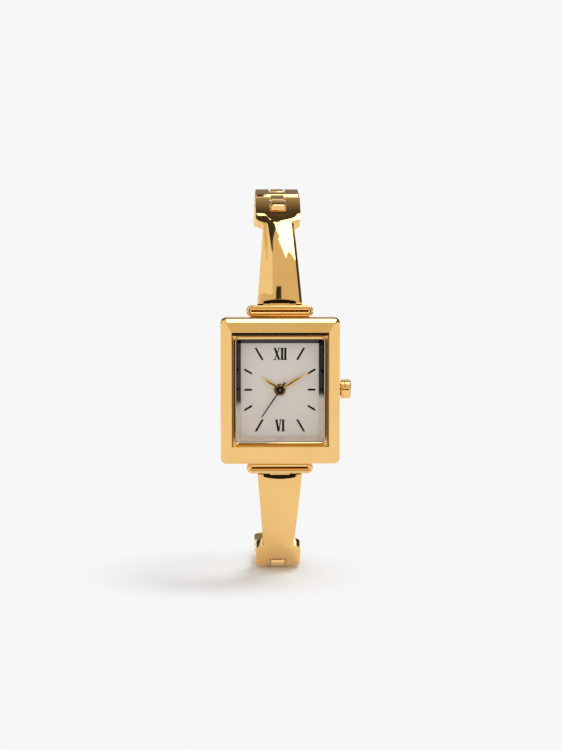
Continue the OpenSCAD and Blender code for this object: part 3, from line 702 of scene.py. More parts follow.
    def mesh(self, name: str) -> Mesh:
        """Merges doubles, turns all faces outwards and returns the mesh, in millimetres."""
        bmesh.ops.remove_doubles(self.bm, verts=self.bm.verts, dist=1e-4)
        bmesh.ops.recalc_face_normals(self.bm, faces=self.bm.faces)
        mesh = bpy.data.meshes.new(name)
        self.bm.to_mesh(mesh)
        self.bm.free()
        return mesh


def show(data: bpy.types.ID, name: str) -> Piece:
    """Puts a mesh, lamp or camera into the scene as an object at the origin."""
    shown = bpy.data.objects.new(name, data)
    bpy.context.scene.collection.objects.link(shown)
    return shown


@dataclass
class Bench:
    """Turns shapes into pieces of the scene and keeps their materials."""

    middle: Vector
    materials: dict[Slot, Material] = field(default_factory=dict)

    def carve(self, mesh: Mesh, cutters: Sequence[Mesh], operation: str = "DIFFERENCE") -> Mesh:
        """Takes cutters away from a mesh, or joins them to it.

        Args:
            mesh: the mesh that is carved.
            cutters: closed meshes.
            operation: DIFFERENCE or UNION.

        Returns:
            The carved mesh.
        """
        target = show(mesh, "carved")
        tools = [show(cutter, "cutter") for cutter in cutters]
        for tool in tools:
            change = target.modifiers.new("carve", "BOOLEAN")
            change.operation = operation
            change.solver = "EXACT"
            change.object = tool
        carved = self.baked(target)
        for spare in (target, *tools):
            bpy.data.objects.remove(spare)
        return carved

    def baked(self, piece: Piece) -> Mesh:
        """The mesh of a piece with its modifiers applied."""
        graph = bpy.context.evaluated_depsgraph_get()
        graph.update()
        return bpy.data.meshes.new_from_object(piece.evaluated_get(graph), depsgraph=graph)

    def soften(self, mesh: Mesh, width: float, segments: int, angle: float) -> Mesh:
        """Rounds every edge of a mesh that is sharper than the angle, in degrees."""
        piece = show(mesh, "softened")
        change = piece.modifiers.new("round", "BEVEL")
        change.width = width
        change.segments = segments
        change.limit_method = "ANGLE"
        change.angle_limit = math.radians(angle)
        change.use_clamp_overlap = True
        change.miter_outer = "MITER_ARC"
        rounded = self.baked(piece)
        bpy.data.objects.remove(piece)
        return rounded

    def finish(
        self, mesh: Mesh, name: str, slot: Slot, body: str, nodes: Sequence[str],
        angle: float = SMOOTH_ANGLE,
    ) -> Piece:
        """Makes a piece of a mesh in millimetres and puts it in its place.

        Args:
            mesh: the finished shape.
            name: name of the piece.
            slot: material slot it takes its finish from.
            body: CAD body that it moves with.
            nodes: CAD nodes that it stands for.
            angle: edges sharper than this stay crisp, in degrees.

        Returns:
            The piece.
        """
        mesh.transform(Matrix.Translation(self.middle) @ Matrix.Scale(MM, 4))
        mesh.name = name
        mesh.shade_smooth()
        mesh.set_sharp_from_angle(angle=math.radians(angle))
        mesh.materials.clear()
        mesh.materials.append(self.materials[slot])
        piece = show(mesh, name)
        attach(piece, body)
        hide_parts(*nodes)
        log.info("%s: %d faces", name, len(mesh.polygons))
        return piece


# The watch


def arc(centre: Point, radius: float, start: float, end: float, steps: int) -> list[Point]:
    """Points on an arc.

    Args:
        centre: its middle.
        radius: its radius.
        start: first angle in degrees.
        end: last angle in degrees.
        steps: how many edges it has.

    Returns:
        The points, both ends included.
    """
    angles = [math.radians(start + (end - start) * k / steps) for k in range(steps + 1)]
    return [(centre[0] + radius * math.cos(a), centre[1] + radius * math.sin(a)) for a in angles]


def along(marks: Sequence[Point], place: float) -> float:
    """Straight interpolation through marks of (place, value), level beyond the ends."""
    if place <= marks[0][0]:
        return marks[0][1]
    for (a, low), (b, high) in zip(marks, marks[1:]):
        if place <= b:
            return low + (high - low) * (place - a) / (b - a)
    return marks[-1][1]


def rod(width: float, diameter: float, y: float, z: float, steps: int = 64) -> Mesh:
    """A plain cutter across the watch for a pin hole or a slot."""
    shape = Shape()
    half, radius = width / 2, diameter / 2
    shape.lathe([(-half, 0), (-half, radius), (half, radius), (half, 0)], Axis.ACROSS,
                (0, y, z), steps)
    return shape.mesh("rod")


def laid(pin: Point, slope: float) -> Matrix:
    """The turn and shift that lay a piece at its pin with a slope in radians."""
    return Matrix.Translation((0, *pin)) @ Matrix.Rotation(slope, 4, "X")


def side(up: bool) -> str:
    """Name of a side, where up is the 12 o'clock side."""
    return "upper" if up else "lower"


def inset(size: Point, steps: Sequence[Triple]) -> list[tuple[float, ...]]:
    """Ring values from steps of (how much smaller than the size, corner radius, station)."""
    return [(size[0] - less, size[1] - less, radius, y) for less, radius, y in steps]


@dataclass
class WatchCase:
    """The picture-frame case, its end pieces, glass and back."""

    bench: Bench
    crest: Point = (15.5, 18.3)
    crest_rise: float = 0.2
    window: Point = (14.96, 17.4)
    pocket: Point = (14.56, 16.9)
    crystal: Point = (14.04, 16.48)
    gasket: Point = (14.12, 16.56)
    ring_seat: Point = (14.06, 16.5)
    seat_front: float = -1.75
    seat_back: float = -0.75
    cavity: Point = (16.1, 18.7)
    cover: Point = (17.2, 19.8)
    cover_seat: float = 2.52
    front: float = -CASE_DEPTH / 2
    back: float = CASE_DEPTH / 2
    glass_front: float = -2.75
    glass_back: float = -1.8
    stem_hole: Point = (3.0, 1.42)
    stem_hole_x: float = 9.4
    end_width: float = 10.7
    end_depth: float = 2.4
    trough: Point = (7.7, 2.32)
    knuckle: float = 5.0
    pin_hole: float = 0.92

    def build(self) -> None:
        """Builds every piece of the case."""
        self.frame()
        for up in (True, False):
            self.end_piece(up)
        self.glass()
        self.case_back()

    def frame(self) -> None:
        """The mitred frame with a rounded outer edge, a crisp crest and a bead at the glass."""
        shape = Shape()
        f, glass = self.front, self.glass_front
        crest_w, crest_h = self.crest
        window_w, window_h = self.window
        outside = inset((CASE_WIDTH, CASE_HEIGHT), [
            (0.5, 0.65, self.back), (0.14, 0.83, self.back - 0.06), (0.0, 0.9, self.back - 0.22),
            (0.0, 0.9, f + 1.16), (0.01, 0.895, f + 1.08), (0.05, 0.875, f + 1.01),
            (0.45, 0.72, f + 0.765), (0.49, 0.69, f + 0.74), (0.56, 0.67, f + 0.702),
            (1.5, 0.3, f + 0.24), (1.58, 0.28, f + 0.203), (1.72, 0.23, f + 0.175),
            (1.9, 0.2, f + 0.158),
        ]) + [
            (crest_w + 0.3, crest_h + 0.5, 0.1, f + 0.045, self.crest_rise),
            (crest_w + 0.1, crest_h + 0.2, 0.04, f + 0.012, self.crest_rise),
            (crest_w, crest_h, 0.03, f, self.crest_rise),
            (crest_w - 0.07, crest_h - 0.07, 0.03, f + 0.012, self.crest_rise),
            (crest_w - 0.13, crest_h - 0.13, 0.03, f + 0.06, self.crest_rise),
            (window_w + 0.06, window_h + 0.06, 0.06, glass - 0.05),
        ]
        inside = [
            (window_w, window_h, 0.5, glass),
            *inset(self.pocket, [(-0.34, 0.62, glass - 0.07), (-0.18, 0.62, glass - 0.1)]),
            *inset(self.gasket, [
                (-0.12, 0.48, glass - 0.08), (0.0, 0.42, glass - 0.03), (0.0, 0.42, glass + 0.01),
            ]),
            *inset(self.pocket, [(0.0, 0.6, glass + 0.02), (0.0, 0.6, self.seat_front)]),
            *inset(self.ring_seat, [(0.0, 0.4, self.seat_front), (0.0, 0.4, self.seat_back)]),
            *inset(self.cavity, [(0.0, 0.8, self.seat_back), (0.0, 0.8, self.cover_seat)]),
            *inset(self.cover, [
                (0.0, 0.8, self.cover_seat), (0.0, 0.8, self.back - 0.05), (-0.1, 0.85, self.back),
            ]),
        ]
        shape.skin([shape.ring(*ring, steps=8) for ring in outside + inside], closed=True)
        stem_hole = rod(*self.stem_hole, STEM_Y, 0.0)
        stem_hole.transform(Matrix.Translation((self.stem_hole_x, 0, 0)))
        mesh = self.bench.carve(shape.mesh("case"), [stem_hole])
        piece = self.bench.finish(mesh, "case_frame", Slot.GOLD, "case", ["case"], 24)
        flat_sides = piece.modifiers.new("flat_sides", "WEIGHTED_NORMAL")
        flat_sides.keep_sharp = True
        flat_sides.weight = 60

    def end_piece(self, up: bool) -> None:
        """Two stacked beads with a slit between them, and the hinge knuckle."""
        shape = Shape()
        hinge_y, hinge_z = HINGE
        high = 2 * BEAD + SLIT
        middle_y, middle_z = hinge_y - 0.3, (CASE_HEIGHT + high) / 2
        half, half_depth, soft = BEAD / 2, self.end_depth / 2, 0.37
        middle_x, turn = self.end_width / 2 - half, (BEAD + SLIT) / 2
        tube = []
        for quarter, (out, end) in enumerate(((1, 1), (-1, 1), (-1, -1), (1, -1))):
            centre = (out * (half - soft), end * (half_depth - soft))
            tube += arc(centre, soft, 90 * quarter, 90 * quarter + 90, 6)
        shape.skin([
            shape.ring(
                2 * (middle_x + out), 2 * (turn + out), turn + out, middle_y + y, middle_z, 12
            )
            for out, y in reversed(tube)
        ], closed=True)
        slit_end, slit_x = (0.8, self.end_depth - 0.4, SLIT + 0.2), middle_x - 0.27
        core = (self.end_width - 1.2, self.end_depth - 1.1, high - 0.3)
        fills = []
        for size, x in ((slit_end, -slit_x), (slit_end, slit_x), (core, 0.0)):
            fill = Shape()
            fill.block(size, (x, middle_y, middle_z), 0.08)
            fills.append(fill.mesh("fill"))
        body = self.bench.carve(shape.mesh("body"), fills, "UNION")
        trough = rod(*self.trough, *HINGE, steps=96)
        body = self.bench.carve(body, [trough])
        shape = Shape()
        shape.bm.from_mesh(body)
        end, hole = self.knuckle / 2, self.pin_hole / 2
        shape.lathe(
            [(-end, hole), (-end, 0.5), (0.05 - end, 0.55), (end - 0.05, 0.55), (end, 0.5),
             (end, hole)],
            Axis.ACROSS, (0, *HINGE), closed=True,
        )
        for size, behind, z, rounding in (
            ((3.2, 0.9, 0.9), -0.25, 13.4, 0.06),
            ((5.2, 0.9, 0.7), -0.25, 13.28, 0.06),
            ((5.2, 0.5, 0.9), 0.1, 13.5, 0.05),
        ):
            shape.block(size, (0, hinge_y + behind, z), rounding)
        if not up:
            shape.flip_up()
        self.bench.finish(
            shape.mesh("end"), f"{side(up)}_beads", Slot.GOLD, "case", [f"{side(up)}_end_piece"]
        )

    def glass(self) -> None:
        """The flat crystal with a polished chamfer round its front."""
        shape = Shape()
        shape.stack(inset(self.crystal, [
            (0.02, 0.39, self.glass_back), (0.0, 0.4, self.glass_back - 0.02),
            (0.0, 0.4, self.glass_front + 0.12), (0.24, 0.32, self.glass_front),
        ]))
        self.bench.finish(
            shape.mesh("crystal"), "crystal_plate", Slot.GLASS, "case", ["crystal"], 20
        )

    def case_back(self) -> None:
        """The snap back with a stepped edge, a raised panel and its lip."""
        shape = Shape()
        lid = (self.cover[0] - 0.1, self.cover[1] - 0.1)
        plug = (self.cavity[0] - 0.1, self.cavity[1] - 0.1)
        front = self.back - 0.6
        shape.stack(inset(plug, [
            (1.1, 0.6, front), (1.1, 0.6, front - 0.4), (1.0, 0.6, front - 0.45),
            (0.1, 0.75, front - 0.45), (0.0, 0.8, front - 0.4), (0.0, 0.8, front),
        ]) + inset(lid, [
            (0.0, 0.8, front), (0.0, 0.8, self.back - 0.1), (0.2, 0.72, self.back),
            (2.0, 0.9, self.back), (2.12, 0.86, self.back - 0.09), (2.5, 0.8, self.back - 0.09),
            (2.62, 0.78, self.back),
        ]))
        self.bench.finish(
            shape.mesh("back"), "case_back_plate", Slot.STEEL, "case", ["case_back"], 24
        )


@dataclass
class CrownSet:
    """The smooth crown outside the case."""

    bench: Bench
    start: float = 9.76
    length: float = 1.66
    radius: float = 1.54
    recess: Point = (1.1, 1.05)
    bore: float = 0.41

    def build(self) -> None:
        """Turns the crown with its rounded outer edge and hollow inner end."""
        shape = Shape()
        end, r = self.length, self.radius
        (deep, hollow), bore = self.recess, self.bore
        profile = [
            (deep + 0.41, 0.0), (deep + 0.4, bore), (deep, bore), (deep, hollow), (0.06, hollow),
            (0.0, hollow + 0.06), (0.0, r - 0.2), (0.06, r - 0.06), (0.2, r - 0.01),
            *arc((end - 0.3, r - 0.3), 0.3, 90, 0, 8), (end, r - 0.42), (end - 0.02, r - 0.5),
            (end, 0.0),
        ]
        shape.lathe(profile, Axis.ACROSS, (self.start, STEM_Y, 0), 72)
        self.bench.finish(shape.mesh("crown"), "crown_cap", Slot.GOLD, "crown", ["crown"], 24)


@dataclass
class HandSet:
    """Leaf-shaped hour and minute hands with a ridge, and the thin second hand."""

    bench: Bench
    thickness: float = 0.14
    hour_front: float = -0.74
    minute_front: float = -1.04
    second_front: float = -1.34
    second_turn: float = 214.0

    def build(self) -> None:
        """Builds the three hands."""
        self.leaf("hour_leaf", "hour_hand", 3.55, 0.62, -55, self.hour_front, (0.66, 0.95))
        self.leaf("minute_leaf", "minute_hand", 5.45, 0.56, 59, self.minute_front, (0.41, 0.75))
        self.needle()

    def leaf(
        self, name: str, node: str, length: float, width: float, turn: float, front: float,
        hub: Point,
    ) -> None:
        """Builds one leaf hand.

        Args:
            name: name of the piece.
            node: CAD node and body.
            length: from the middle to its tip.
            width: at its widest.
            turn: clockwise angle from 12 o'clock, in degrees.
            front: station of its front face.
            hub: inner and outer radius of its hub.
        """
        shape = Shape()
        back = front + self.thickness
        low = front + 0.035
        shape.blade(
            [(hub[0], 0.3), (0.42 * length, width), (0.7 * length, 0.62 * width),
             (length - 0.02, 0.03)],
            [(-1, back), (1, back), (1, low), (0, front), (-1, low)], turn,
        )
        inner, outer = hub
        shape.lathe(
            [(back, inner), (back, outer), (front + 0.05, outer), (front, outer - 0.06),
             (front, inner + 0.05), (front + 0.03, inner)],
            Axis.DEPTH, closed=True,
        )
        self.bench.finish(shape.mesh("hand"), name, Slot.HAND, node, [node], 20)

    def needle(self) -> None:
        """Builds the second hand with its domed hub and tail."""
        shape = Shape()
        front, back = self.second_front, self.second_front + self.thickness
        low, flat = front + 0.05, front + 0.01
        shape.blade(
            [(-1.5, 0.26), (-0.5, 0.23), (2.4, 0.2), (5.25, 0.17)],
            [(-1, back), (1, back), (1, low), (0.4, flat), (-0.4, flat), (-1, low)],
            self.second_turn,
        )
        shape.lathe(
            [(back, 0.13), (back, 0.5), (front + 0.06, 0.5), (front + 0.015, 0.44),
             (front, 0.3), (front, 0.13)],
            Axis.DEPTH, steps=40, closed=True,
        )
        self.bench.finish(
            shape.mesh("needle"), "second_needle", Slot.BLACK_HAND, "second_hand",
            ["second_hand"], 30,
        )


@dataclass
class Bangle:
    """The two curved bars, the chain of links, the rear arms and the clasp box."""

    bench: Bench
    bar_radius: float = 30.85
    bar_t: float = 1.7
    bar_round: float = 0.24
    end_rounds: Point = (0.85, 0.2)
    edge_round: float = 0.03
    hinge_angle: float = 19.0
    pin_angle: float = 57.0
    hinge_width: float = 7.1
    neck_width: float = 5.0
    knuckle: float = 5.3
    pocket: float = 1.2
    through: float = 9.0
    hinge_hole: float = 0.98
    tight_hole: float = 0.82
    loose_hole: float = 0.88
    link_width: float = 7.4
    link_t: float = 1.8
    pitch: float = 5.6
    link_round: float = 0.35
    chamfer: Point = (0.62, 0.42)
    tongue: Point = (2.25, 3.5)
    tongue_round: float = 0.2
    short: float = 2.1
    gap: float = 0.22
    slopes: Triple = (14.0, -8.0, -24.0)
    lower_slopes: Triple = (2.5, 0.0, 0.0)
    depth: float = 44.0
    bend: float = 14.0
    arm_t: float = 1.6
    arm_width: float = 3.9
    wide_length: float = 9.2
    clasp: Triple = (5.2, 2.9, 8.4)
    mouth: float = 3.4

    def build(self) -> None:
        """Builds both halves of the bangle and the clasp box."""
        for up in (True, False):
            self.bar(up)
            pins = self.pins(up)
            slopes = self.slopes if up else self.lower_slopes
            for index, name in enumerate(("first", "second")):
                self.link(name, pins[index], slopes[index], up)
            self.arm(pins[2], -slopes[2], up)
        self.clasp_box()

    def centre(self) -> Point:
        """Middle of the bar's arc."""
        turn = math.radians(self.hinge_angle)
        return (
            HINGE[0] + self.bar_radius * math.cos(turn),
            HINGE[1] - self.bar_radius * math.sin(turn),
        )

    def pins(self, up: bool) -> list[Point]:
        """Pins of the chain on one side, drawn on the 12 o'clock side."""
        turn = math.radians(self.pin_angle)
        cy, cz = self.centre()
        pins = [(cy - self.bar_radius * math.cos(turn), cz + self.bar_radius * math.sin(turn))]
        for slope in (self.slopes if up else self.lower_slopes)[:2]:
            y, z = pins[-1]
            rise = math.radians(slope)
            pins.append((y + self.pitch * math.cos(rise), z + self.pitch * math.sin(rise)))
        return pins

    def notch(self, reach: float) -> float:
        """Diameter of the fork's round bottom for a tongue of the given reach."""
        return 2 * (math.hypot(reach, self.link_t / 2) + self.gap)

    def turned(self, mesh: Mesh, up: bool) -> Mesh:
        """Mirrors a finished mesh to the 6 o'clock side unless up is True."""
        if not up:
            mesh.transform(Matrix.Diagonal((1, 1, -1, 1)))
            mesh.flip_normals()
        return mesh

    def half_width(self, z: float) -> float:
        """Half the bar's width at a height on its outer face."""
        return along([
            (HINGE[1], self.hinge_width / 2), (26.85, self.neck_width / 2), (26.95, 2.88),
            (27.07, 3.2), (27.25, 3.46), (27.5, 3.62), (27.8, self.link_width / 2),
        ], z)

    def section(self, angle: float) -> list[Vector]:
        """Cross section of the bar at an angle of its arc.

        Args:
            angle: place along the arc, in degrees.

        Returns:
            Points of the left facet, thin strip, crowned middle, right strips and inner face.
        """
        turn = math.radians(angle)
        cy, cz = self.centre()
        outer = self.bar_radius + self.bar_t / 2
        z = cz + outer * math.sin(turn)
        half = self.half_width(z)
        fade = along([(26.4, 1.0), (28.2, 0.0)], z)
        crease = along([(21.6, 1.12), (25.5, 1.62), (28.2, 2.0)], z)
        facet = fade * along([(14.95, 0.58), (15.8, 1.0)], z)
        strip, step, crown = 0.4, 0.13, 0.12
        wide = half - crease - strip
        left = [
            (-half + wide * share, -facet * (step + slope * wide))
            for share, slope in ((0.0, 0.25), (0.3, 0.155), (0.65, 0.07))
        ] + [(-crease - strip, -step * facet)]
        span = half - 0.75 + crease
        middle = [
            (-crease + span * share, crown * fade * 4 * share * (1 - share))
            for share in (k / 12 for k in range(13))
        ]
        right = [(half - 0.4, -0.1 * fade), (half, -0.34 * fade)]
        fork_end, hinge_end = self.end_rounds
        pull = self.rounded(angle - self.pin_angle, fork_end)
        pull += self.rounded(self.hinge_angle - angle, hinge_end)
        points = [(x, outer + rise - pull) for x, rise in left + middle + right]
        points += [(x, outer - self.bar_t + pull) for x in (half, -half)]
        return [Vector((x, cy - r * math.cos(turn), cz + r * math.sin(turn))) for x, r in points]

    def rounded(self, beyond: float, radius: float) -> float:
        """How far the bar's faces come in at its round end, by the angle past its pin."""
        reach = math.radians(beyond) * self.bar_radius - self.bar_t / 2 + radius
        reach = min(max(reach, 0.0), 0.985 * radius)
        return radius - math.sqrt(radius * radius - reach * reach)

    def bar(self, up: bool) -> None:
        """Builds one curved bar with its round ends, hinge pocket, slot and fork."""
        shape = Shape()
        over = math.degrees(self.bar_t / 2 / self.bar_radius)
        start, end = self.hinge_angle - over, self.pin_angle + over
        steps = 150
        even = [start + (end - start) * k / steps for k in range(steps + 1)]
        shoulder = [45.4, 45.65, 45.85, 46.25, 46.75]
        hinge_end = [start + over * 0.03 * k for k in range(1, 8)]
        fork_end = [self.pin_angle + over * math.sin(0.15 * k) for k in range(1, 10)]
        angles = sorted(even + shoulder + hinge_end + fork_end)
        shape.sweep([self.section(angle) for angle in angles])
        pin = self.pins(up)[0]
        mouth = Shape()
        half, low = self.knuckle / 2, HINGE[1]
        rise, drop = 0.14, 0.32
        brow = [(half * k / 8, low + rise - drop * (k / 8) ** 2) for k in range(8, -9, -1)]
        mouth.prism([(-half, low - 1.3), (half, low - 1.3), *brow], 4.0, 0.5, Axis.DEPTH)
        reach = self.tongue[1] if up else self.short
        notch = rod(self.tongue[0] + 2 * self.gap, self.notch(reach), *pin, steps=160)
        mesh = self.bench.carve(shape.mesh("bar"), [notch])
        mesh = self.bench.soften(mesh, self.bar_round, 8, 33.0)
        cutters = [
            rod(self.knuckle, self.pocket, *HINGE),
            mouth.mesh("mouth"),
            rod(self.through, self.hinge_hole, *HINGE),
            rod(self.through, self.tight_hole, *pin),
        ]
        mesh = self.bench.soften(self.bench.carve(mesh, cutters), self.edge_round, 2, 40.0)
        name = f"{side(up)}_bar"
        self.bench.finish(
            self.turned(mesh, up), f"{side(up)}_bangle_bar", Slot.GOLD, name, [name], 10
        )

    def tongue_mesh(self, reach: float) -> Mesh:
        """The domed tongue that lies in the fork in front, round the pin at y 0."""
        shape = Shape()
        r, width = self.link_t / 2, self.tongue[0]
        root, corner = 1.5, 0.35
        dome = (
            (0.12, 0.0), (0.22, 0.05), (0.3, 0.16), (0.6, 0.9), (0.81, 1.5), (0.88, 1.8), (r, 2.1),
        )
        shape.prism([
            (root, -r), *arc((corner - reach, corner - r), corner, 270, 180, 6),
            *((behind - reach, z) for z, behind in dome), (root, r),
        ], width)
        return self.bench.soften(shape.mesh("tongue"), self.tongue_round, 8, 40.0)

    def link(self, name: str, pin: Point, slope: float, up: bool) -> None:
        """Builds one link at a pin.

        Args:
            name: first or second.
            pin: its front pin.
            slope: its rise towards the rear, in degrees.
            up: True on the 12 o'clock side.
        """
        shape = Shape()
        r, start = self.link_t / 2, self.link_t / 2 + self.gap
        outline = [
            (start, -r), *arc((self.pitch, 0), r, -90, 90, 20), (start + self.chamfer[0], r),
            (start, r - self.chamfer[1]),
        ]
        shape.prism(outline, self.link_width)
        width = self.tongue[0]
        mesh = self.bench.soften(shape.mesh("link"), self.link_round, 8, 40.0)
        reach = self.tongue[1] if up and name == "first" else self.short
        mesh = self.bench.carve(mesh, [self.tongue_mesh(reach)], "UNION")
        cutters = [
            rod(width + 2 * self.gap, self.notch(self.short), self.pitch, 0, steps=160),
            rod(self.through, self.tight_hole, self.pitch, 0),
            rod(self.through, self.loose_hole, 0, 0),
        ]
        mesh = self.bench.carve(mesh, cutters)
        mesh.transform(laid(pin, math.radians(slope)))
        node = f"{side(up)}_{name}_link"
        self.bench.finish(
            self.turned(mesh, up), f"{side(up)}_{name}_fork", Slot.GOLD, node, [node], 20
        )

    def arm(self, pin: Point, fall: float, up: bool) -> None:
        """Builds one rear arm from its tongue to the clasp.

        Args:
            pin: its front pin.
            fall: how steeply it falls behind the pin, in degrees.
            up: True on the 12 o'clock side.
        """
        drop = math.radians(fall)
        bend_y = self.depth - self.bend
        straight = (bend_y + self.bend * math.sin(drop) - pin[0]) / math.cos(drop)
        bend_z = pin[1] - straight * math.sin(drop) - self.bend * math.cos(drop)
        end_z = self.clasp[2] - self.mouth if up else self.mouth + 0.2
        first = self.link_t / 2 + self.gap
        even, round_steps = 24, 32
        reaches = [first + (straight - first) * step / even for step in range(even + 1)]
        turns = [
            drop + (math.pi / 2 - drop) * step / round_steps for step in range(1, round_steps + 1)
        ]
        path = [
            (pin[0] + reach * math.cos(drop), pin[1] - reach * math.sin(drop), drop)
            for reach in reaches
        ] + [
            (bend_y + self.bend * math.sin(turn), bend_z + self.bend * math.cos(turn), turn)
            for turn in turns
        ]
        path.append((self.depth, end_z, math.pi / 2))
        wide_y = pin[0] + self.wide_length * math.cos(drop)
        wide, narrow = self.link_width / 2, self.arm_width / 2
        marks = [(wide_y, wide), (wide_y + 0.25, wide - 0.1), (wide_y + 0.95, narrow + 0.1),
                 (wide_y + 1.2, narrow)]
        top = self.arm_t / 2
        sections = []
        for y, z, turn in path:
            half = along(marks, y)
            outline = [
                (-half, top - 0.22), (-half + 0.07, top - 0.07), (-half + 0.25, top - 0.01),
                (0, top), (half - 0.25, top - 0.01), (half - 0.07, top - 0.07),
                (half, top - 0.22), (half, 0.1 - top), (half - 0.1, -top), (0.1 - half, -top),
                (-half, 0.1 - top),
            ]
            out = Vector((0, math.sin(turn), math.cos(turn)))
            sections.append([Vector((x, y, z)) + out * rise for x, rise in outline])
        shape = Shape()
        shape.sweep(sections)
        tongue = self.tongue_mesh(self.short)
        tongue.transform(laid(pin, -drop))
        mesh = self.bench.carve(shape.mesh("arm"), [tongue], "UNION")
        mesh = self.bench.carve(mesh, [rod(self.through, self.loose_hole, *pin)])
        node = f"{side(up)}_rear_arm"
        self.bench.finish(self.turned(mesh, up), f"{side(up)}_arm", Slot.GOLD, node, [node], 20)

    def clasp_box(self) -> None:
        """The hollow clasp box with its open mouth and the window for the tab."""
        width, deep, high = self.clasp
        wall, sharp = 0.45, 0.02
        middle = (0, self.depth, high / 2 - self.mouth)
        shape, hollow, window = Shape(), Shape(), Shape()
        shape.block(self.clasp, middle, 0.32, 6)
        hollow.block(
            (width - 2 * wall, deep - 2 * wall, high), (0, self.depth, middle[2] - wall), sharp, 1
        )
        window.block((3.9, deep, 1.2), (0, self.depth + deep / 2, -self.mouth), sharp, 1)
        mesh = self.bench.carve(shape.mesh("box"), [hollow.mesh("hollow"), window.mesh("window")])
        self.bench.finish(mesh, "clasp_case", Slot.GOLD, "upper_rear_arm", ["clasp_box"], 20)


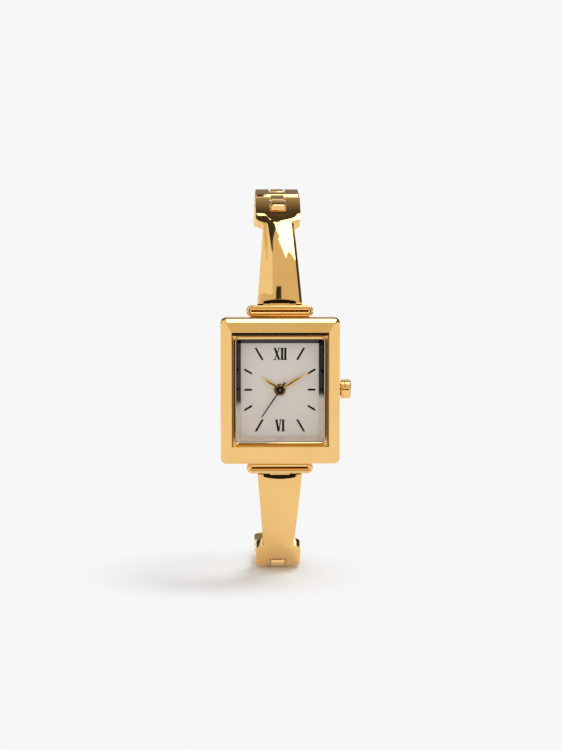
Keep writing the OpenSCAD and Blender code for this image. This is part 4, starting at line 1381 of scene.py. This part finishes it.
@dataclass
class Studio:
    """White studio with one soft key light, and boards that only polished pieces show."""

    target: Vector
    distance: float = 0.2843
    azimuth: float = -1.7
    elevation: float = 5.0
    focal_px: float = 1770.0
    image: tuple[int, int] = (562, 750)
    aim: Point = (279.8, 389.5)
    sensor: float = 36.0
    clip: Point = (0.01, 100.0)
    white: float = 0.93
    light: float = 0.82
    key_light: float = 0.95
    key_spread: float = 34.0
    key_path: Triple = (-0.5, -0.12, -1.0)
    floor_radius: float = 30.0
    floor_tone: float = 0.85
    shadow_middle: Point = (-0.008, -0.014)
    shadow_reach: Point = (0.010, 0.026)

    def build(self) -> None:
        """Builds the camera, floor, key light, surroundings and boards."""
        self.camera()
        self.floor()
        self.key()
        self.surroundings()
        self.boards()
        bpy.context.scene.view_settings.view_transform = "Standard"

    def camera(self) -> None:
        """Places the camera at the photograph's viewing angle."""
        width, height = self.image
        lens = bpy.data.cameras.new("camera")
        lens.sensor_width = self.sensor
        lens.lens = self.focal_px * lens.sensor_width / height
        lens.shift_x = (width / 2 - self.aim[0]) / height
        lens.shift_y = (self.aim[1] - height / 2) / height
        lens.clip_start, lens.clip_end = self.clip
        turn, rise = math.radians(self.azimuth), math.radians(self.elevation)
        look = Vector((
            -math.sin(turn) * math.cos(rise), math.cos(turn) * math.cos(rise), -math.sin(rise)
        ))
        camera = show(lens, "camera")
        camera.location = self.target - look * self.distance
        camera.rotation_mode = "QUATERNION"
        camera.rotation_quaternion = look.to_track_quat("-Z", "Y")
        bpy.context.scene.camera = camera

    def floor(self) -> None:
        """A pale matt floor that keeps the shadow near the watch and is even further out."""
        bm = bmesh.new()
        bmesh.ops.create_circle(bm, cap_ends=True, segments=64, radius=self.floor_radius)
        material = bpy.data.materials.new("pale_floor")
        net = Net(material)
        x, y, _ = net.axes()
        middle_x, middle_y = self.shadow_middle
        reach = net.distance((x - middle_x) * 0.9, y - middle_y)
        matt = net.node("ShaderNodeBsdfDiffuse", None, (self.floor_tone,) * 3)
        even = net.node("ShaderNodeEmission", None, WHITE, self.white)
        mirrored = Value(net, net.node("ShaderNodeLightPath").outputs["Is Glossy Ray"])
        seen = mirrored * (0.9 - y.rise(-22.0, 14.0) * 0.6)
        plain = net.highest(reach.step(*self.shadow_reach), seen)
        net.surface(net.mix(plain, matt, even))
        floor = self.stand(bm, "floor", material)

    def stand(self, bm: bmesh.types.BMesh, name: str, material: Material) -> Piece:
        """Puts a flat piece of the studio into the scene."""
        mesh = bpy.data.meshes.new(name)
        bm.to_mesh(mesh)
        bm.free()
        mesh.materials.append(material)
        return show(mesh, name)

    def key(self) -> None:
        """A broad soft key from the right, above and a little behind."""
        sun = bpy.data.lights.new("key", "SUN")
        sun.energy = self.key_light
        sun.angle = math.radians(self.key_spread)
        lamp = show(sun, "key")
        lamp.rotation_mode = "QUATERNION"
        lamp.rotation_quaternion = Vector(self.key_path).to_track_quat("-Z", "Y")
        lamp.visible_glossy = False

    def surroundings(self) -> None:
        """Even light for matt surfaces, and plain white for the camera, metal and glass."""
        world = bpy.data.worlds.new("studio")
        bpy.context.scene.world = world
        net = Net(world)
        even = net.node("ShaderNodeBackground", None, WHITE, self.light)
        plain = net.node("ShaderNodeBackground", None, WHITE, self.white)
        path = net.node("ShaderNodeLightPath").outputs
        straight, mirrored, through = (
            Value(net, path[f"Is {kind} Ray"]) for kind in ("Camera", "Glossy", "Transmission")
        )
        net.surface(net.mix(straight + mirrored + through, even, plain), "ShaderNodeOutputWorld")

    def board(
        self, name: str, tone: Colour, strength: float | Point, corners: Sequence[Triple]
    ) -> None:
        """Sets up a board beside the camera that only shows in polished surfaces.

        Args:
            name: name of the board.
            tone: its colour.
            strength: how bright it is, where 1 is white, or that at its front and at its rear.
            corners: its corners in order, in metres from the middle of the case.
        """
        bm = bmesh.new()
        verts = [bm.verts.new(self.target + Vector(corner)) for corner in corners]
        bmesh.ops.contextual_create(bm, geom=verts)
        material = bpy.data.materials.new(name)
        net = Net(material)
        if isinstance(strength, tuple):
            front, rear = strength
            _, y, _ = net.axes()
            ends = [corner[1] for corner in corners]
            strength = y.step(min(ends), max(ends)) * (rear - front) + front
        net.surface(net.node("ShaderNodeEmission", None, tone, strength))
        board = self.stand(bm, name, material)
        for ray in ("camera", "diffuse", "transmission", "volume_scatter", "shadow"):
            setattr(board, f"visible_{ray}", False)

    def boards(self) -> None:
        """Boards in front, overhead, behind and beside, and the dark front of the camera."""
        warm = (1.0, 0.93, 0.78)
        wide, narrow = -1.8, -0.42
        for name, strength, left, (y0, z0), (y1, z1) in (
            ("low_front_board", 0.84, wide, (-1.0, 0.0), (-1.0, 0.12)),
            ("front_board", 0.72, narrow, (-1.0, 0.12), (-0.85, 1.04)),
            ("ceiling_board", 0.72, narrow, (-0.85, 1.04), (0.0, 1.04)),
            ("overhead_board", (0.05, 0.42), wide, (0.1, 1.0), (0.56, 1.0)),
            ("rear_board", 0.24, wide, (1.2, 1.0), (4.5, 1.0)),
        ):
            self.board(name, warm, strength, [
                (left, y0, z0), (-wide, y0, z0), (-wide, y1, z1), (left, y1, z1)
            ])
        for name, strength, x, corners in (
            ("left_edge_board", 0.06, -1.0, ((0.3, -0.03), (1.7, -0.03), (1.7, 1.2), (0.3, 1.2))),
            ("right_edge_board", 0.06, 1.0, (
                (0.3, -0.03), (1.7, -0.03), (1.7, 1.6), (0.0, 1.6), (-0.4, 0.4), (0.2, 0.3),
            )),
        ):
            self.board(name, WHITE, strength, [(x, y, z) for y, z in corners])
        for name, strength, y, (left, right), (low, high) in (
            ("camera_front", 0.02, -0.2, (-0.06, 0.07), (-0.031, 0.012)),
            ("lamp_stand", 0.03, -0.8, (-0.15, -0.038), (0.58, 0.78)),
        ):
            self.board(name, WHITE, strength, [
                (left, y, low), (right, y, low), (right, y, high), (left, y, high)
            ])
        for name, strength, corners in (
            ("soft_box", 4.2, (
                (-0.035, 0.1), (-0.03, -0.1), (-0.02, -0.23), (0.03, -0.2), (0.12, -0.49),
                (0.18, -0.38), (0.95, -0.38), (0.95, 0.1),
            )),
            ("dark_flag", 0.045, (
                (-0.26, 0.1), (-0.035, 0.1), (-0.035, -0.08), (-0.15, -0.27), (-0.2, -0.42),
                (-0.26, -0.42),
            )),
        ):
            self.board(name, WHITE, strength, [(x, y, 1.0) for x, y in corners])


def finishes(middle: Vector) -> list[object]:
    """Every finish of the watch, the dial's centred on the case."""
    return [
        PolishedMetal(Slot.GOLD, (0.95, 0.61, 0.235), (0.93, 0.58, 0.21), 0.035, 0.03,
                      painted_shade_middle=middle),
        PaintedShadeMirror(Slot.MIRROR, (0.88, 0.80, 0.74), (0.012, 0.009, 0.007), middle),
        RingedMetal(Slot.STEEL, (0.66, 0.65, 0.63), (0.61, 0.60, 0.58)),
        RingedMetal(Slot.BRASS, (0.78, 0.57, 0.26), (0.62, 0.42, 0.17), 0.08 * MM),
        CrystalGlass(Slot.GLASS),
        PearlDial(Slot.DIAL, (0.80, 0.735, 0.67), (0.65, 0.57, 0.485), middle,
                  (6.25 * MM, 7.47 * MM)),
        Moulded(Slot.PRINT, (0.008, 0.006, 0.005), (0.012, 0.01, 0.008), 0.35, 1e-6,
                shine=0.06),
        PolishedMetal(Slot.HAND, (0.90, 0.60, 0.22), (0.84, 0.53, 0.18), 0.06, 0.04),
        Moulded(Slot.BLACK_HAND, (0.01, 0.008, 0.006), (0.014, 0.011, 0.009), 0.22, 6e-7,
                shine=0.12),
        Moulded(Slot.NYLON, (0.78, 0.77, 0.74), (0.70, 0.69, 0.66), 0.45),
        Moulded(Slot.RUBBER, (0.02, 0.02, 0.02), (0.035, 0.035, 0.035), 0.6),
        WoundCopper(Slot.COPPER, (0.75, 0.32, 0.14), (0.33, 0.11, 0.04)),
        CircuitVarnish(Slot.BOARD, (0.02, 0.16, 0.07), (0.06, 0.30, 0.13)),
        PolishedMetal(Slot.CELL, (0.70, 0.69, 0.66), (0.62, 0.61, 0.58), 0.2, 0.1, 8e-7),
        Moulded(Slot.MAGNET, (0.10, 0.10, 0.11), (0.06, 0.06, 0.065), 0.3),
    ]


def main() -> None:
    logging.basicConfig(level=logging.INFO, format="%(message)s")
    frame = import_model()
    low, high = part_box("case")
    middle = Vector((
        (low[0] + high[0]) / 2, low[1] + CASE_DEPTH / 2 * MM, (low[2] + high[2]) / 2
    ))
    Studio(middle).build()
    bench = Bench(middle)
    for finish in finishes(middle):
        bench.materials[finish.slot] = finish.make()
    for row in frame["record"]["subparts"]:
        for place in frame["nodes"][row["node"]].material_slots:
            place.material = bench.materials[Slot(row["material_slot"])]
    WatchCase(bench).build()
    CrownSet(bench).build()
    HandSet(bench).build()
    Bangle(bench).build()


if __name__ == "__main__":
    main()
